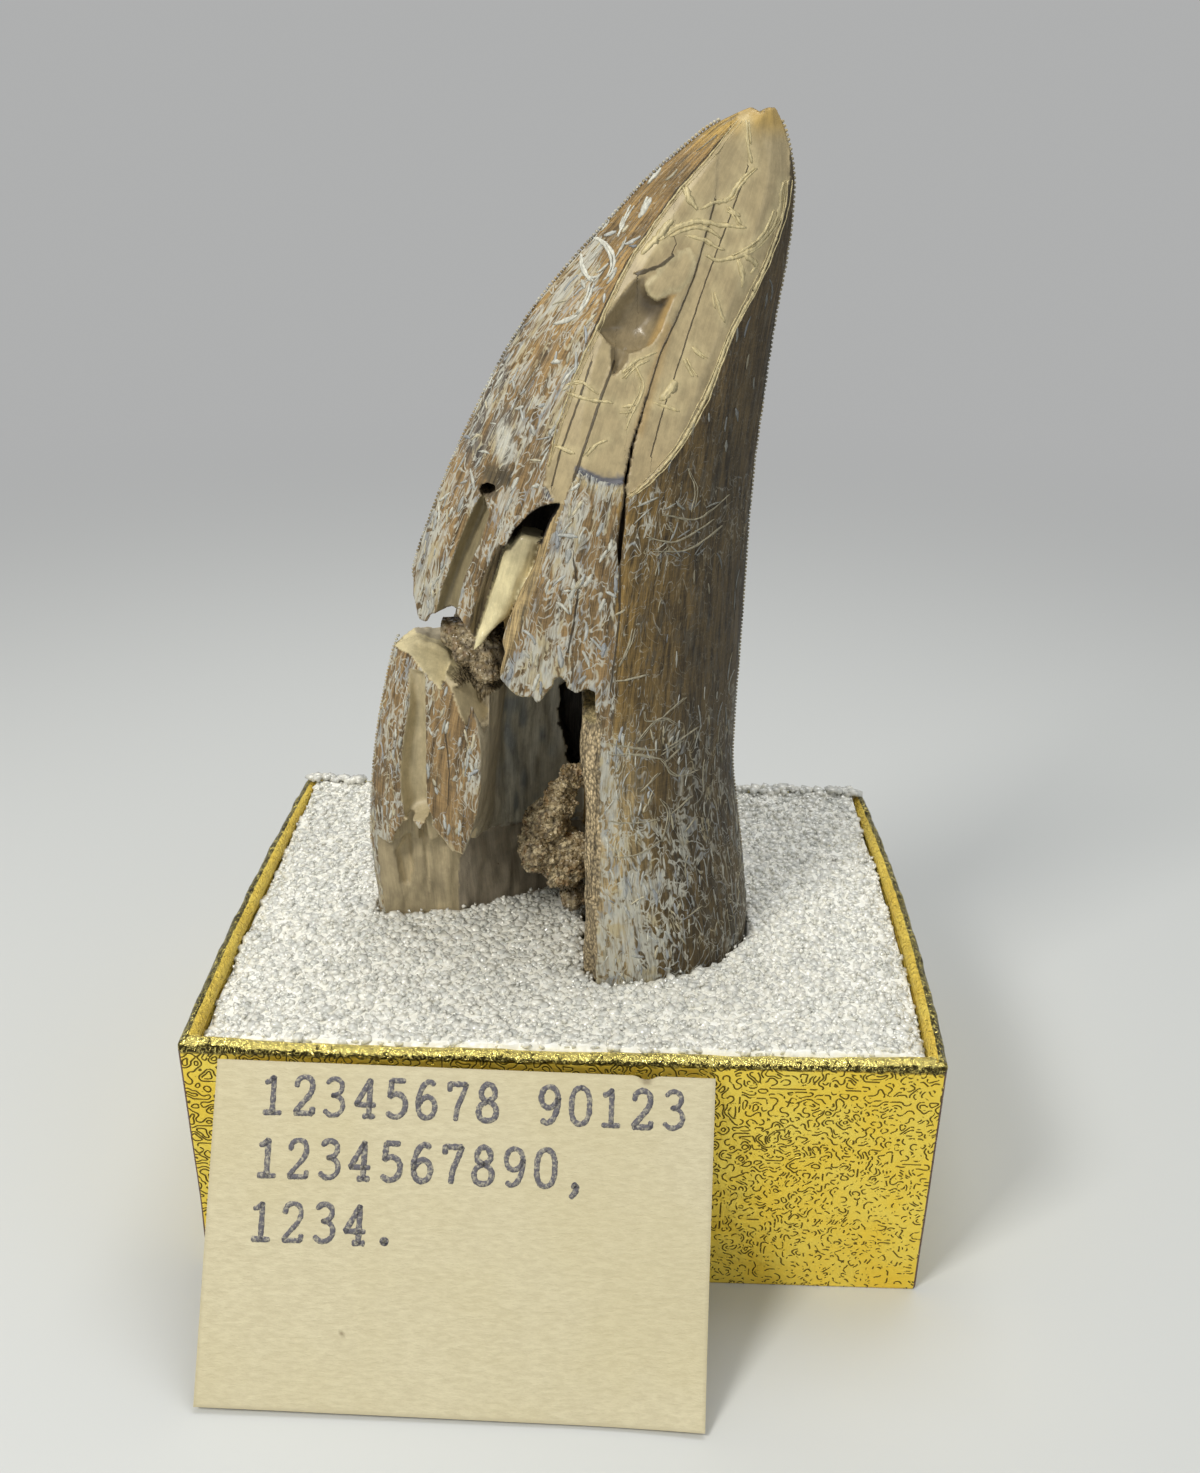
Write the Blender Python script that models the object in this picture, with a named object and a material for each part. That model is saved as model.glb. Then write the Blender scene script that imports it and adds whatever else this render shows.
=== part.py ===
"""A broken fossil dinosaur tooth standing in a foil gift box of crystal granules, with its card.

Frame: X to the right, Y away from the front, Z up. The origin is the middle of the box's underside.
Lengths are in millimetres, and so are the meshes: each object's scale brings it to metres.
"""

import math

import bmesh
import bpy
import numpy as np
from mathutils import Vector, noise

MM = 0.001
GAP = 0.3

# The box: a folded board tray with bowed side walls
BOX_WIDTH = 53.5
BOX_DEPTH = 41.0
BOX_HEIGHT = 21.0
BOARD = 1.2
LEFT_BOW = 0.4
RIGHT_BOW = 0.7
RIM_CRINKLE = 0.12
POINTS_PER_WALL = 12

# The granules
BED_TOP = 20.5
BED_GRAIN = 0.32
BED_HEAP = 0.7
BED_CELLS_X = 34
BED_CELLS_Y = 26

# The card, by the corners of its middle plane
CARD_TOP_LEFT = (-23.7, -21.15, 20.15)
CARD_TOP_RIGHT = (10.7, -21.15, 19.7)
CARD_BOTTOM_LEFT = (-24.05, -33.0, 0.45)
CARD_BOTTOM_RIGHT = (10.35, -33.25, 0.15)
CARD_THICKNESS = 0.25
CARD_CURL = 0.5

# The crown's outline: height, left edge, right edge, bulge to the front, bulge to the back
ROOT_Z = 14.5
STRAIGHT_TO = 21.6
RIDGE_Y = -1.0
CROWN = [
    (21.6, -16.0, 14.1, 10.1, 9.6),
    (26.0, -16.3, 13.5, 9.95, 9.3),
    (30.0, -16.1, 12.9, 9.7, 9.0),
    (34.0, -15.65, 12.3, 9.5, 8.7),
    (38.0, -14.95, 12.2, 9.25, 8.3),
    (42.0, -14.0, 12.25, 8.95, 7.9),
    (46.0, -12.9, 12.3, 8.6, 7.5),
    (50.0, -11.8, 12.35, 8.2, 7.0),
    (54.0, -10.3, 12.4, 7.75, 6.4),
    (58.0, -8.6, 12.55, 7.2, 5.8),
    (62.0, -6.6, 12.85, 6.5, 5.2),
    (65.0, -4.95, 13.1, 5.8, 4.6),
    (68.0, -2.95, 13.4, 5.05, 4.0),
    (71.0, -0.4, 13.8, 4.2, 3.4),
    (73.5, 1.95, 14.0, 3.5, 2.9),
    (76.0, 4.35, 14.0, 2.8, 2.4),
    (78.0, 6.7, 13.6, 2.2, 1.9),
    (79.4, 8.6, 13.1, 1.6, 1.4),
    (80.4, 10.7, 12.5, 0.9, 0.8),
]
CROWN_LEVELS = 40
CROWN_SIDES = 52
GRAIN_RIDGES = 0.07
LUMPS = 0.16

# The spalled facet: a shallow scoop, y = FACET_Y + slopes, within left and right limits at each height
FACET_Y = -19.55
FACET_SLOPE_X = 0.125
FACET_SLOPE_Z = 0.205
FACET_SCOOP = 0.0042
FACET_MIDDLE = 68.0
FACET_LIMITS = [
    (57.9, -1.75, 4.8),
    (59.3, -1.6, 6.3),
    (61.5, -0.9, 8.2),
    (66.0, 0.4, 10.4),
    (70.0, 2.6, 12.6),
    (74.0, 4.9, 14.6),
    (77.5, 7.6, 15.0),
    (82.0, 10.6, 15.0),
]
FACET_TONGUE = [(-1.6, 58.3), (-1.75, 57.2), (-1.0, 56.1), (-0.6, 56.4), (0.1, 58.3)]

# Outlines on the front, as (x, z)
PIT = [(1.6, 67.2), (2.5, 66.4), (3.6, 66.0), (4.7, 66.3), (5.5, 67.2), (6.9, 69.3), (6.3, 69.8),
       (5.3, 69.2), (4.9, 70.0), (5.6, 71.0), (4.5, 70.5), (3.1, 69.7)]
HOLE = [(-0.9, 56.1), (-2.2, 55.9), (-3.05, 55.2), (-4.0, 54.1), (-4.5, 52.9), (-2.9, 53.0),
        (-2.1, 53.3), (-1.6, 54.7)]
SHARD_DIP = [(-2.3, 53.1), (-2.85, 51.1), (-3.7, 49.6), (-4.4, 48.2), (-5.0, 46.2), (-7.6, 44.6),
             (-7.0, 47.3), (-5.95, 49.5), (-5.2, 51.4), (-4.6, 52.6)]
CHANNEL = [(-6.3, 56.0), (-7.0, 54.9), (-7.7, 53.5), (-8.4, 51.9), (-9.0, 50.3), (-9.6, 48.9),
           (-10.75, 45.1), (-8.9, 45.1), (-8.25, 47.9), (-7.7, 50.1), (-6.6, 52.6), (-5.8, 54.8)]
SMALL_HOLE = [(-6.5, 56.0), (-5.6, 56.0), (-5.2, 56.7), (-4.4, 57.6), (-5.1, 57.8), (-5.7, 57.1)]
NOTCH = [(-20.0, 49.2), (-11.95, 49.2), (-11.9, 47.5), (-11.55, 46.3), (-11.0, 45.75), (-10.5, 46.8), (-8.4, 47.5), (-7.7, 46.8), (-7.1, 45.7),
         (-6.2, 45.7), (-5.0, 47.0), (-4.7, 45.7), (-5.0, 43.9), (-5.0, 41.4), (-7.0, 41.4),
         (-9.2, 42.7), (-9.8, 43.5), (-11.0, 43.7), (-12.3, 44.3), (-13.3, 44.0), (-14.0, 42.6),
         (-20.0, 42.6)]
FLAKE_HEM = [(-5.15, 41.0), (-5.1, 43.8), (-4.35, 43.1), (-3.5, 42.7), (-2.6, 42.8), (-2.3, 42.3),
             (-1.8, 43.0), (-1.15, 43.8), (-0.3, 43.7), (0.45, 43.2), (1.1, 43.5),
             (1.7, 43.4), (1.75, 41.0)]
BLOCK_CHANNEL = [(-12.9, 43.0), (-10.9, 42.2), (-10.9, 36.9), (-10.95, 32.4), (-10.4, 30.9),
                 (-12.9, 30.2), (-13.3, 33.8), (-12.9, 37.0), (-12.4, 39.5)]
UNDER_SLAB = [(-20.0, 13.0), (-20.0, 26.2), (-14.6, 26.6), (-13.2, 29.6), (-12.4, 30.9),
              (-11.6, 29.6), (-10.9, 31.2), (-10.2, 30.4), (-8.9, 29.3), (-8.1, 29.3), (-6.0, 25.0),
              (-6.0, 13.0)]
SLIT = [(-2.1, 37.9), (-1.2, 38.5), (0.3, 37.3), (0.5, 33.6), (-0.2, 30.2), (-1.1, 30.6), (-1.9, 33.6)]

# Cracks: points as (x, z, width), and how deep each goes behind the surface it is in
CRACKS = {
    "crack_long": ([(8.8, 75.1, 0.12), (7.6, 70.4, 0.2), (6.6, 68.2, 0.25), (5.5, 65.6, 0.35),
                    (4.6, 62.5, 0.45), (3.9, 60.1, 0.45), (3.45, 57.6, 0.4)], -3.6, -1.2),
    "crack_fine": ([(10.8, 77.0, 0.12), (9.9, 74.4, 0.16), (8.3, 70.0, 0.2), (6.9, 65.5, 0.2),
                    (5.7, 61.7, 0.2), (5.1, 59.3, 0.12)], -3.4, -1.4),
    "crack_left": ([(2.6, 65.3, 0.12), (1.5, 62.3, 0.22), (0.4, 58.9, 0.3), (0.05, 57.9, 0.3)], -5.0, -4.2),
    "crack_flake": ([(3.4, 57.8, 0.4), (3.35, 55.6, 0.55), (3.1, 53.6, 0.6), (3.4, 50.9, 0.3),
                     (3.15, 48.0, 0.25), (2.9, 45.0, 0.3), (2.8, 43.4, 0.2)], -7.0, -6.6),
}

# The break below the flake: outlines as (x, y) of what is missing, from low to high
BREAK_FRONT = -18.0
BREAK_LOW = [(-20.0, BREAK_FRONT), (-20.0, -2.3), (-15.5, -2.05), (-10.05, -1.5), (-8.0, -0.7),
             (-5.6, 0.8), (-2.2, 3.0), (0.6, 3.6), (1.2, 0.5), (1.35, -9.2), (2.1, -10.9),
             (2.1, BREAK_FRONT)]
BREAK_LOW_TOP = 27.4
RIB_GROOVES = {
    "groove_left": ([(-14.3, 26.0), (-13.5, 27.6), (-12.9, 27.9), (-12.7, 24.3), (-13.3, 22.6),
                     (-13.9, 22.9)], -1.3),
    "groove_middle": ([(-12.2, 28.6), (-11.6, 29.2), (-11.2, 26.0), (-11.4, 21.0), (-12.0, 21.0)], -1.6),
    "groove_right": ([(-10.7, 28.8), (-10.0, 29.6), (-8.8, 29.0), (-9.4, 26.4), (-10.5, 26.2)], -1.0),
}
BREAK_MAIN = [
    (27.0, [(-9.0, BREAK_FRONT), (-9.0, -6.0), (-8.0, -2.5), (-5.8, 0.9), (-2.2, 3.1), (0.7, 3.7),
            (1.25, 0.4), (1.35, -9.2), (2.35, -10.7), (2.35, BREAK_FRONT)]),
    (31.75, [(-7.1, BREAK_FRONT), (-7.1, -8.2), (-6.7, -3.2), (-5.7, 1.0), (-2.1, 3.3), (0.8, 3.7),
             (1.2, 0.3), (1.25, -9.2), (2.4, -10.6), (2.4, BREAK_FRONT)]),
    (35.0, [(-6.45, BREAK_FRONT), (-6.45, -8.3), (-6.2, -3.4), (-5.6, 1.1), (-2.1, 3.4), (0.8, 3.7),
            (1.15, 0.2), (1.2, -9.1), (2.3, -10.5), (2.3, BREAK_FRONT)]),
    (38.2, [(-6.5, BREAK_FRONT), (-6.5, -8.0), (-5.8, -3.6), (-5.4, 1.1), (-2.1, 3.4), (0.8, 3.6),
            (1.0, 0.0), (0.95, -8.9), (2.25, -10.2), (2.25, BREAK_FRONT)]),
    (41.2, [(-7.0, BREAK_FRONT), (-7.0, -7.4), (-5.2, -3.6), (-5.0, 1.0), (-2.0, 3.2), (0.7, 3.4),
            (0.8, -0.4), (0.75, -8.6), (2.3, -9.9), (2.3, BREAK_FRONT)]),
    (42.1, [(-6.4, BREAK_FRONT), (-6.4, -7.2), (-4.9, -3.6), (-4.7, 0.8), (-2.0, 2.8), (0.5, 3.0),
            (0.6, -1.0), (0.7, -8.2), (1.6, -9.7), (1.6, BREAK_FRONT)]),
]
CAVITY = [
    (41.6, [(-5.4, -5.9), (-4.6, 0.6), (-1.8, 2.2), (0.6, 2.0), (1.0, -3.0), (1.4, -7.4)]),
    (46.0, [(-5.6, -5.0), (-4.8, 0.2), (-2.0, 1.6), (0.5, 1.4), (1.0, -3.0), (1.2, -6.9)]),
    (50.0, [(-4.9, -4.8), (-4.4, -0.4), (-2.0, 0.8), (0.2, 0.4), (0.9, -2.6), (0.9, -6.4)]),
    (54.0, [(-4.3, -4.6), (-3.8, -1.0), (-2.0, 0.0), (-0.4, -0.4), (0.3, -2.8), (0.1, -6.0)]),
    (57.0, [(-3.2, -4.4), (-2.8, -2.2), (-1.9, -1.6), (-1.0, -1.9), (-0.6, -3.2), (-0.9, -4.8)]),
]

# On the back: a shallow spall, a chipped hem and two long cracks
BACK_SPALL = [(1.5, 49.0), (4.4, 46.5), (7.3, 49.5), (8.1, 56.0), (6.3, 61.5), (3.6, 60.0), (2.0, 55.0)]
BACK_SPALL_Y = 6.05
BACK_CRACKS = {
    "back_crack_long": ([(8.9, 69.0, 0.12), (6.9, 62.0, 0.25), (5.2, 52.0, 0.3), (4.3, 41.0, 0.3),
                         (4.4, 30.0, 0.2)], 1.5, 5.2),
    "back_crack_left": ([(-3.9, 58.0, 0.12), (-5.6, 50.0, 0.25), (-6.3, 42.0, 0.3), (-6.0, 35.0, 0.12)],
                        3.6, 5.2),
}

# The rock left in the break, each lump held behind planes given as (normal, distance)
ROCK_ROUGHNESS = 0.22
LUMP_CENTRE = (-1.75, -2.4, 27.7)
LUMP_RADII = (2.9, 3.1, 6.2)
LUMP_WALLS = [((1.0, 0.0, 0.0), 0.75), ((-0.543, 0.84, 0.0), 3.3), ((0.0, 0.0, -1.0), -21.3)]
NECK_CENTRE = (-7.2, -2.4, 44.2)
NECK_RADII = (3.0, 3.3, 2.2)
NECK_WALLS = [((0.0, 0.0, 1.0), 45.4), ((-0.6, 0.0, -0.8), -29.35), ((-1.0, 0.0, 0.0), 9.6),
              ((0.0, 1.0, 0.0), 2.2), ((1.0, 0.0, 0.0), -5.4)]


def material(name, colour, roughness, metallic=0.0, alpha=1.0):
    made = bpy.data.materials.new(name)
    made.use_nodes = True
    shader = made.node_tree.nodes["Principled BSDF"]
    shader.inputs["Base Color"].default_value = (*colour, 1.0)
    shader.inputs["Roughness"].default_value = roughness
    shader.inputs["Metallic"].default_value = metallic
    shader.inputs["Alpha"].default_value = alpha
    made.diffuse_color = (*colour, alpha)
    return made


def add_object(name, mesh_builder, look=None):
    """A mesh object from a bmesh, with its faces turned outwards."""
    bmesh.ops.triangulate(mesh_builder, faces=mesh_builder.faces[:])
    bmesh.ops.recalc_face_normals(mesh_builder, faces=mesh_builder.faces[:])
    mesh = bpy.data.meshes.new(name)
    mesh_builder.to_mesh(mesh)
    mesh_builder.free()
    made = bpy.data.objects.new(name, mesh)
    made.scale = (MM, MM, MM)
    bpy.context.scene.collection.objects.link(made)
    if look is None:
        made.hide_render = True
        made.display_type = "WIRE"
    else:
        mesh.materials.append(look)
    return made


def loft(rings):
    """A closed bmesh through rings that all have the same number of points, capped at both ends."""
    made = bmesh.new()
    rows = [[made.verts.new(point) for point in ring] for ring in rings]
    count = len(rows[0])
    for lower, upper in zip(rows, rows[1:]):
        for i in range(count):
            j = (i + 1) % count
            made.faces.new((lower[i], lower[j], upper[j], upper[i]))
    made.faces.new(rows[0][::-1])
    made.faces.new(rows[-1])
    return made


def front_prism(name, outline, front, back):
    """A cutter with an (x, z) outline, from y = front to y = back."""
    rings = [[(x, y, z) for x, z in outline] for y in (front, back)]
    return add_object(name, loft(rings))


def crack_prism(name, route, depth_top, depth_bottom, toward):
    """A thin wedge along (x, z, width) points. Its blind edge runs from depth_top to depth_bottom."""
    made = bmesh.new()
    rows = []
    for i, (x, z, width) in enumerate(route):
        share = i / (len(route) - 1)
        depth = depth_top + (depth_bottom - depth_top) * share
        before = route[max(i - 1, 0)]
        after = route[min(i + 1, len(route) - 1)]
        run = Vector((after[0] - before[0], 0.0, after[1] - before[1])).normalized()
        side = Vector((run.z, 0.0, -run.x)) * width / 2
        middle = Vector((x, 0.0, z))
        open_side = Vector((0.0, toward, 0.0))
        blind_side = Vector((0.0, depth, 0.0))
        row = [middle - side + open_side, middle + side + open_side,
               middle + side * 0.5 + blind_side, middle - side * 0.5 + blind_side]
        rows.append([made.verts.new(point) for point in row])
    for lower, upper in zip(rows, rows[1:]):
        for i in range(4):
            j = (i + 1) % 4
            made.faces.new((lower[i], lower[j], upper[j], upper[i]))
    made.faces.new(rows[0][::-1])
    made.faces.new(rows[-1])
    return add_object(name, made)


def cut(target, cutter, solver="EXACT"):
    step = target.modifiers.new(cutter.name, "BOOLEAN")
    step.operation = "DIFFERENCE"
    step.solver = solver
    step.object = cutter


def smooth_between(height, stations, column):
    """Cubic interpolation of one column of the stations at a height."""
    heights = [row[0] for row in stations]
    values = [row[column] for row in stations]
    height = min(max(height, heights[0]), heights[-1])
    i = min(max(int(np.searchsorted(heights, height)) - 1, 0), len(heights) - 2)
    span = heights[i + 1] - heights[i]
    share = (height - heights[i]) / span

    def tangent(k):
        a, b = max(k - 1, 0), min(k + 1, len(heights) - 1)
        return (values[b] - values[a]) / (heights[b] - heights[a]) * span

    square, cube = share ** 2, share ** 3
    return ((2 * cube - 3 * square + 1) * values[i] + (cube - 2 * square + share) * tangent(i)
            + (3 * square - 2 * cube) * values[i + 1] + (cube - square) * tangent(i + 1))


def crown_ring(height):
    """The crown's section at a height: two curved faces that meet in a ridge at the left and right."""
    left, right, front, back = (smooth_between(height, CROWN, column) for column in (1, 2, 3, 4))
    rise = min(max((height - 20.0) / 40.0, 0.0), 1.0)
    lean = 1.5 - 0.5 * rise
    fullness = 0.48 + 0.32 * rise
    half = CROWN_SIDES // 2
    ring = []
    for i in range(CROWN_SIDES):
        on_front = i < half
        turn = i / half if on_front else (CROWN_SIDES - i) / half
        share = (1 - math.cos(math.pi * turn)) / 2
        x = left + (right - left) * share
        if on_front:
            y = RIDGE_Y - front * math.sin(math.pi * share ** lean) ** fullness
        else:
            y = RIDGE_Y + back * math.sin(math.pi * share ** 1.15) ** (0.5 + 0.3 * rise)
        place = Vector((x, y, height))
        fade = min((height - STRAIGHT_TO) / 5.0, 1.0) if height > STRAIGHT_TO else 0.0
        edge = math.sin(math.pi * share)
        ridge = GRAIN_RIDGES * math.sin(2.6 * x + 0.5 * math.sin(height / 9.0)) * edge
        lump = LUMPS * noise.noise(place * 0.16) * edge
        y += (ridge + lump) * fade * (-1 if on_front else 1)
        ring.append((x, y, height))
    return ring


def crown_levels():
    """Heights from the root to the tip, closer together towards the tip."""
    shares = np.linspace(0.0, 1.0, CROWN_LEVELS)
    top = CROWN[-1][0]
    above = STRAIGHT_TO + (top - STRAIGHT_TO) * (1 - (1 - shares) ** 1.25)
    return [ROOT_Z] + [float(z) for z in above]


def facet_depth(x, z):
    return (FACET_Y + FACET_SLOPE_X * x + FACET_SLOPE_Z * z
            - FACET_SCOOP * (z - FACET_MIDDLE) ** 2)


def facet_cutter():
    rings = []
    for z, left, right in FACET_LIMITS:
        middle = (left + right) / 2
        rings.append([(left, BREAK_FRONT, z), (right, BREAK_FRONT, z), (right, facet_depth(right, z), z),
                      (middle, facet_depth(middle, z) - 0.05, z), (left, facet_depth(left, z), z)])
    return add_object("facet_cutter", loft(rings))


def build_tooth():
    look = material("fossil_enamel", (0.42, 0.31, 0.18), 0.45)
    tooth = add_object("tooth", loft([crown_ring(z) for z in crown_levels()]), look)
    # The many cuts that meet along one line leave open edges with the exact solver.
    cut(tooth, facet_cutter(), "MANIFOLD")
    cut(tooth, front_prism("facet_tongue", FACET_TONGUE, BREAK_FRONT, -7.6), "MANIFOLD")
    rings = [[(x, y, z) for x, y in BREAK_LOW] for z in (ROOT_Z - 2.0, BREAK_LOW_TOP)]
    cut(tooth, add_object("break_low", loft(rings)), "MANIFOLD")
    cut(tooth, front_prism("under_slab", UNDER_SLAB, BREAK_FRONT, -2.45), "MANIFOLD")
    cut(tooth, add_object("break_main", loft([[(x, y, z) for x, y in ring] for z, ring in BREAK_MAIN])), "MANIFOLD")
    cut(tooth, add_object("cavity", loft([[(x, y, z) for x, y in ring] for z, ring in CAVITY])), "MANIFOLD")
    cut(tooth, front_prism("notch", NOTCH, BREAK_FRONT, 2.6), "MANIFOLD")
    cut(tooth, front_prism("flake_hem", FLAKE_HEM, BREAK_FRONT, -3.2), "MANIFOLD")
    for name, (outline, depth) in RIB_GROOVES.items():
        cut(tooth, front_prism(name, outline, BREAK_FRONT, depth), "MANIFOLD")
    cut(tooth, front_prism("slit", SLIT, 0.0, 12.0), "MANIFOLD")
    cut(tooth, front_prism("hole", HOLE, BREAK_FRONT, -3.0), "MANIFOLD")
    cut(tooth, front_prism("shard_dip", SHARD_DIP, BREAK_FRONT, -6.35), "MANIFOLD")
    cut(tooth, front_prism("channel", CHANNEL, BREAK_FRONT, -3.2), "MANIFOLD")
    cut(tooth, front_prism("small_hole", SMALL_HOLE, BREAK_FRONT, -2.6), "MANIFOLD")
    cut(tooth, front_prism("block_channel", BLOCK_CHANNEL, BREAK_FRONT, -2.9), "MANIFOLD")
    cut(tooth, front_prism("pit", PIT, BREAK_FRONT, -4.0), "MANIFOLD")
    for name, (route, depth_top, depth_bottom) in CRACKS.items():
        cut(tooth, crack_prism(name, route, depth_top, depth_bottom, BREAK_FRONT), "MANIFOLD")
    cut(tooth, front_prism("back_spall", BACK_SPALL, BACK_SPALL_Y - 1.1, 14.0), "MANIFOLD")
    for name, (route, depth_top, depth_bottom) in BACK_CRACKS.items():
        cut(tooth, crack_prism(name, route, depth_top, depth_bottom, 14.0), "MANIFOLD")
    return tooth


def offset_outline(outline, distance):
    """The (x, y) outline moved outwards by a distance, along the mitre of each corner."""
    corners = [Vector(point) for point in outline]
    area = sum(a.x * b.y - b.x * a.y for a, b in zip(corners, corners[1:] + corners[:1]))
    outward = 1 if area > 0 else -1
    moved = []
    for i, corner in enumerate(corners):
        into = (corner - corners[i - 1]).normalized()
        out = (corners[(i + 1) % len(corners)] - corner).normalized()
        normal = (Vector((into.y, -into.x)) + Vector((out.y, -out.x))).normalized() * outward
        stretch = max(math.sqrt((1 + into.dot(out)) / 2), 0.5)
        moved.append(tuple(corner + normal * distance / stretch))
    return moved


def bed_pocket():
    """The cutter for the hole that the tooth's foot stands in: its section grown by the gap."""
    foot = [(x, y) for x, y, z in crown_ring(ROOT_Z)]
    outer = offset_outline(foot, GAP)
    inner = offset_outline(BREAK_LOW, -GAP)
    low, high = ROOT_Z - GAP, BOX_HEIGHT + 4.0
    pocket = add_object("bed_pocket", loft([[(x, y, z) for x, y in outer] for z in (low, high)]))
    core = add_object("bed_core", loft([[(x, y, z) for x, y in inner] for z in (low - 1, high + 1)]))
    cut(pocket, core)
    return pocket


def inner_half_width(y, z, side):
    """Half the tray's inside at a depth y and a height z, with the wall's bow."""
    bow = (LEFT_BOW if side < 0 else RIGHT_BOW) * z / BOX_HEIGHT
    return BOX_WIDTH / 2 - BOARD + bow * (1 - (2 * y / BOX_DEPTH) ** 2)


def build_bed():
    """Granules: a block whose top is a net of small flat facets, heaped a little at the back."""
    look = material("clear_granules", (0.86, 0.87, 0.86), 0.2, alpha=0.85)
    made = bmesh.new()
    half_depth = BOX_DEPTH / 2 - BOARD - GAP
    top, bottom = [], []
    for j in range(BED_CELLS_Y + 1):
        across = -1 + 2 * j / BED_CELLS_Y
        top_row, bottom_row = [], []
        for i in range(BED_CELLS_X + 1):
            along = -1 + 2 * i / BED_CELLS_X
            y = half_depth * across
            x = along * (inner_half_width(y, BED_TOP, along) - GAP)
            low_x = along * (inner_half_width(y, BOARD, along) - GAP)
            inside = abs(along) < 1 and abs(across) < 1
            shift = noise.noise_vector(Vector((x * 1.7, y * 1.7, 3.0))) * (0.45 if inside else 0.0)
            z = BED_TOP + BED_GRAIN * 2 * noise.noise(Vector((x * 2.3, y * 2.3, 9.0)))
            z += BED_HEAP * max(across, 0.0) ** 6
            top_row.append(made.verts.new((x + shift.x, y + shift.y, z)))
            if not inside:
                bottom_row.append(made.verts.new((low_x, y, BOARD + GAP)))
            else:
                bottom_row.append(None)
        top.append(top_row)
        bottom.append(bottom_row)
    for j in range(BED_CELLS_Y):
        for i in range(BED_CELLS_X):
            made.faces.new((top[j][i], top[j][i + 1], top[j + 1][i + 1], top[j + 1][i]))
    nx, ny = BED_CELLS_X, BED_CELLS_Y
    rim = [(0, i) for i in range(nx)] + [(j, nx) for j in range(ny)]
    rim += [(ny, i) for i in range(nx, 0, -1)] + [(j, 0) for j in range(ny, 0, -1)]
    for k, (j, i) in enumerate(rim):
        j2, i2 = rim[(k + 1) % len(rim)]
        made.faces.new((bottom[j][i], bottom[j2][i2], top[j2][i2], top[j][i]))
    made.faces.new([bottom[j][i] for j, i in reversed(rim)])
    bed = add_object("granule_bed", made, look)
    cut(bed, bed_pocket())
    return bed


def tray_outline(inset, height):
    """One closed line round the tray at an inset from its outer faces."""
    half_x = BOX_WIDTH / 2 - inset
    half_y = BOX_DEPTH / 2 - inset
    rise = height / BOX_HEIGHT
    ring = []
    for side in range(4):
        for i in range(POINTS_PER_WALL):
            share = -1 + 2 * i / POINTS_PER_WALL
            bulge = (1 - share ** 2) * rise
            if side == 0:
                x, y = share * half_x, -half_y
            elif side == 1:
                x, y = half_x + RIGHT_BOW * bulge, share * half_y
            elif side == 2:
                x, y = -share * half_x, half_y
            else:
                x, y = -half_x - LEFT_BOW * bulge, -share * half_y
            crinkle = RIM_CRINKLE * rise * noise.noise(Vector((x * 0.7, y * 0.7, 1.0)))
            ring.append((x, y, height + (crinkle if height > BOARD else 0.0)))
    return ring


def build_box():
    """The tray: outer wall, rim and inner wall in one skin, closed by its floor."""
    look = material("gold_foil", (0.62, 0.46, 0.06), 0.28, metallic=1.0)
    rings = [tray_outline(0.0, 0.0), tray_outline(0.0, BOX_HEIGHT * 0.5), tray_outline(0.0, BOX_HEIGHT - 0.25),
             tray_outline(0.3, BOX_HEIGHT), tray_outline(BOARD - 0.3, BOX_HEIGHT),
             tray_outline(BOARD, BOX_HEIGHT - 0.25), tray_outline(BOARD, BOX_HEIGHT * 0.5),
             tray_outline(BOARD, BOARD)]
    return add_object("foil_box", loft(rings), look)


def build_card():
    """A thin card between its four corners, its lower right corner curled forward a little."""
    look = material("cream_card", (0.63, 0.57, 0.38), 0.85)
    corners = [Vector(corner) for corner in
               (CARD_BOTTOM_LEFT, CARD_BOTTOM_RIGHT, CARD_TOP_RIGHT, CARD_TOP_LEFT)]
    low_left, low_right, top_right, top_left = corners
    across = (low_right - low_left).normalized()
    normal = across.cross(top_left - low_left).normalized()
    columns, rows = 12, 8
    made = bmesh.new()
    faces = {}
    for layer in (-0.5, 0.5):
        for j in range(rows + 1):
            for i in range(columns + 1):
                u, v = i / columns, j / rows
                low = low_left.lerp(low_right, u)
                high = top_left.lerp(top_right, u)
                place = low.lerp(high, v)
                curl = CARD_CURL * max(0.0, (u - 0.7) / 0.3) ** 2 * max(0.0, (0.35 - v) / 0.35) ** 2
                place = place + normal * (layer * CARD_THICKNESS + curl)
                faces[layer, i, j] = made.verts.new(place)
    for layer in (-0.5, 0.5):
        for j in range(rows):
            for i in range(columns):
                made.faces.new((faces[layer, i, j], faces[layer, i + 1, j],
                                faces[layer, i + 1, j + 1], faces[layer, i, j + 1]))
    rim = [(i, 0) for i in range(columns)] + [(columns, j) for j in range(rows)]
    rim += [(i, rows) for i in range(columns, 0, -1)] + [(0, j) for j in range(rows, 0, -1)]
    for k, (i, j) in enumerate(rim):
        i2, j2 = rim[(k + 1) % len(rim)]
        made.faces.new((faces[-0.5, i, j], faces[-0.5, i2, j2], faces[0.5, i2, j2], faces[0.5, i, j]))
    return add_object("label_card", made, look)


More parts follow.
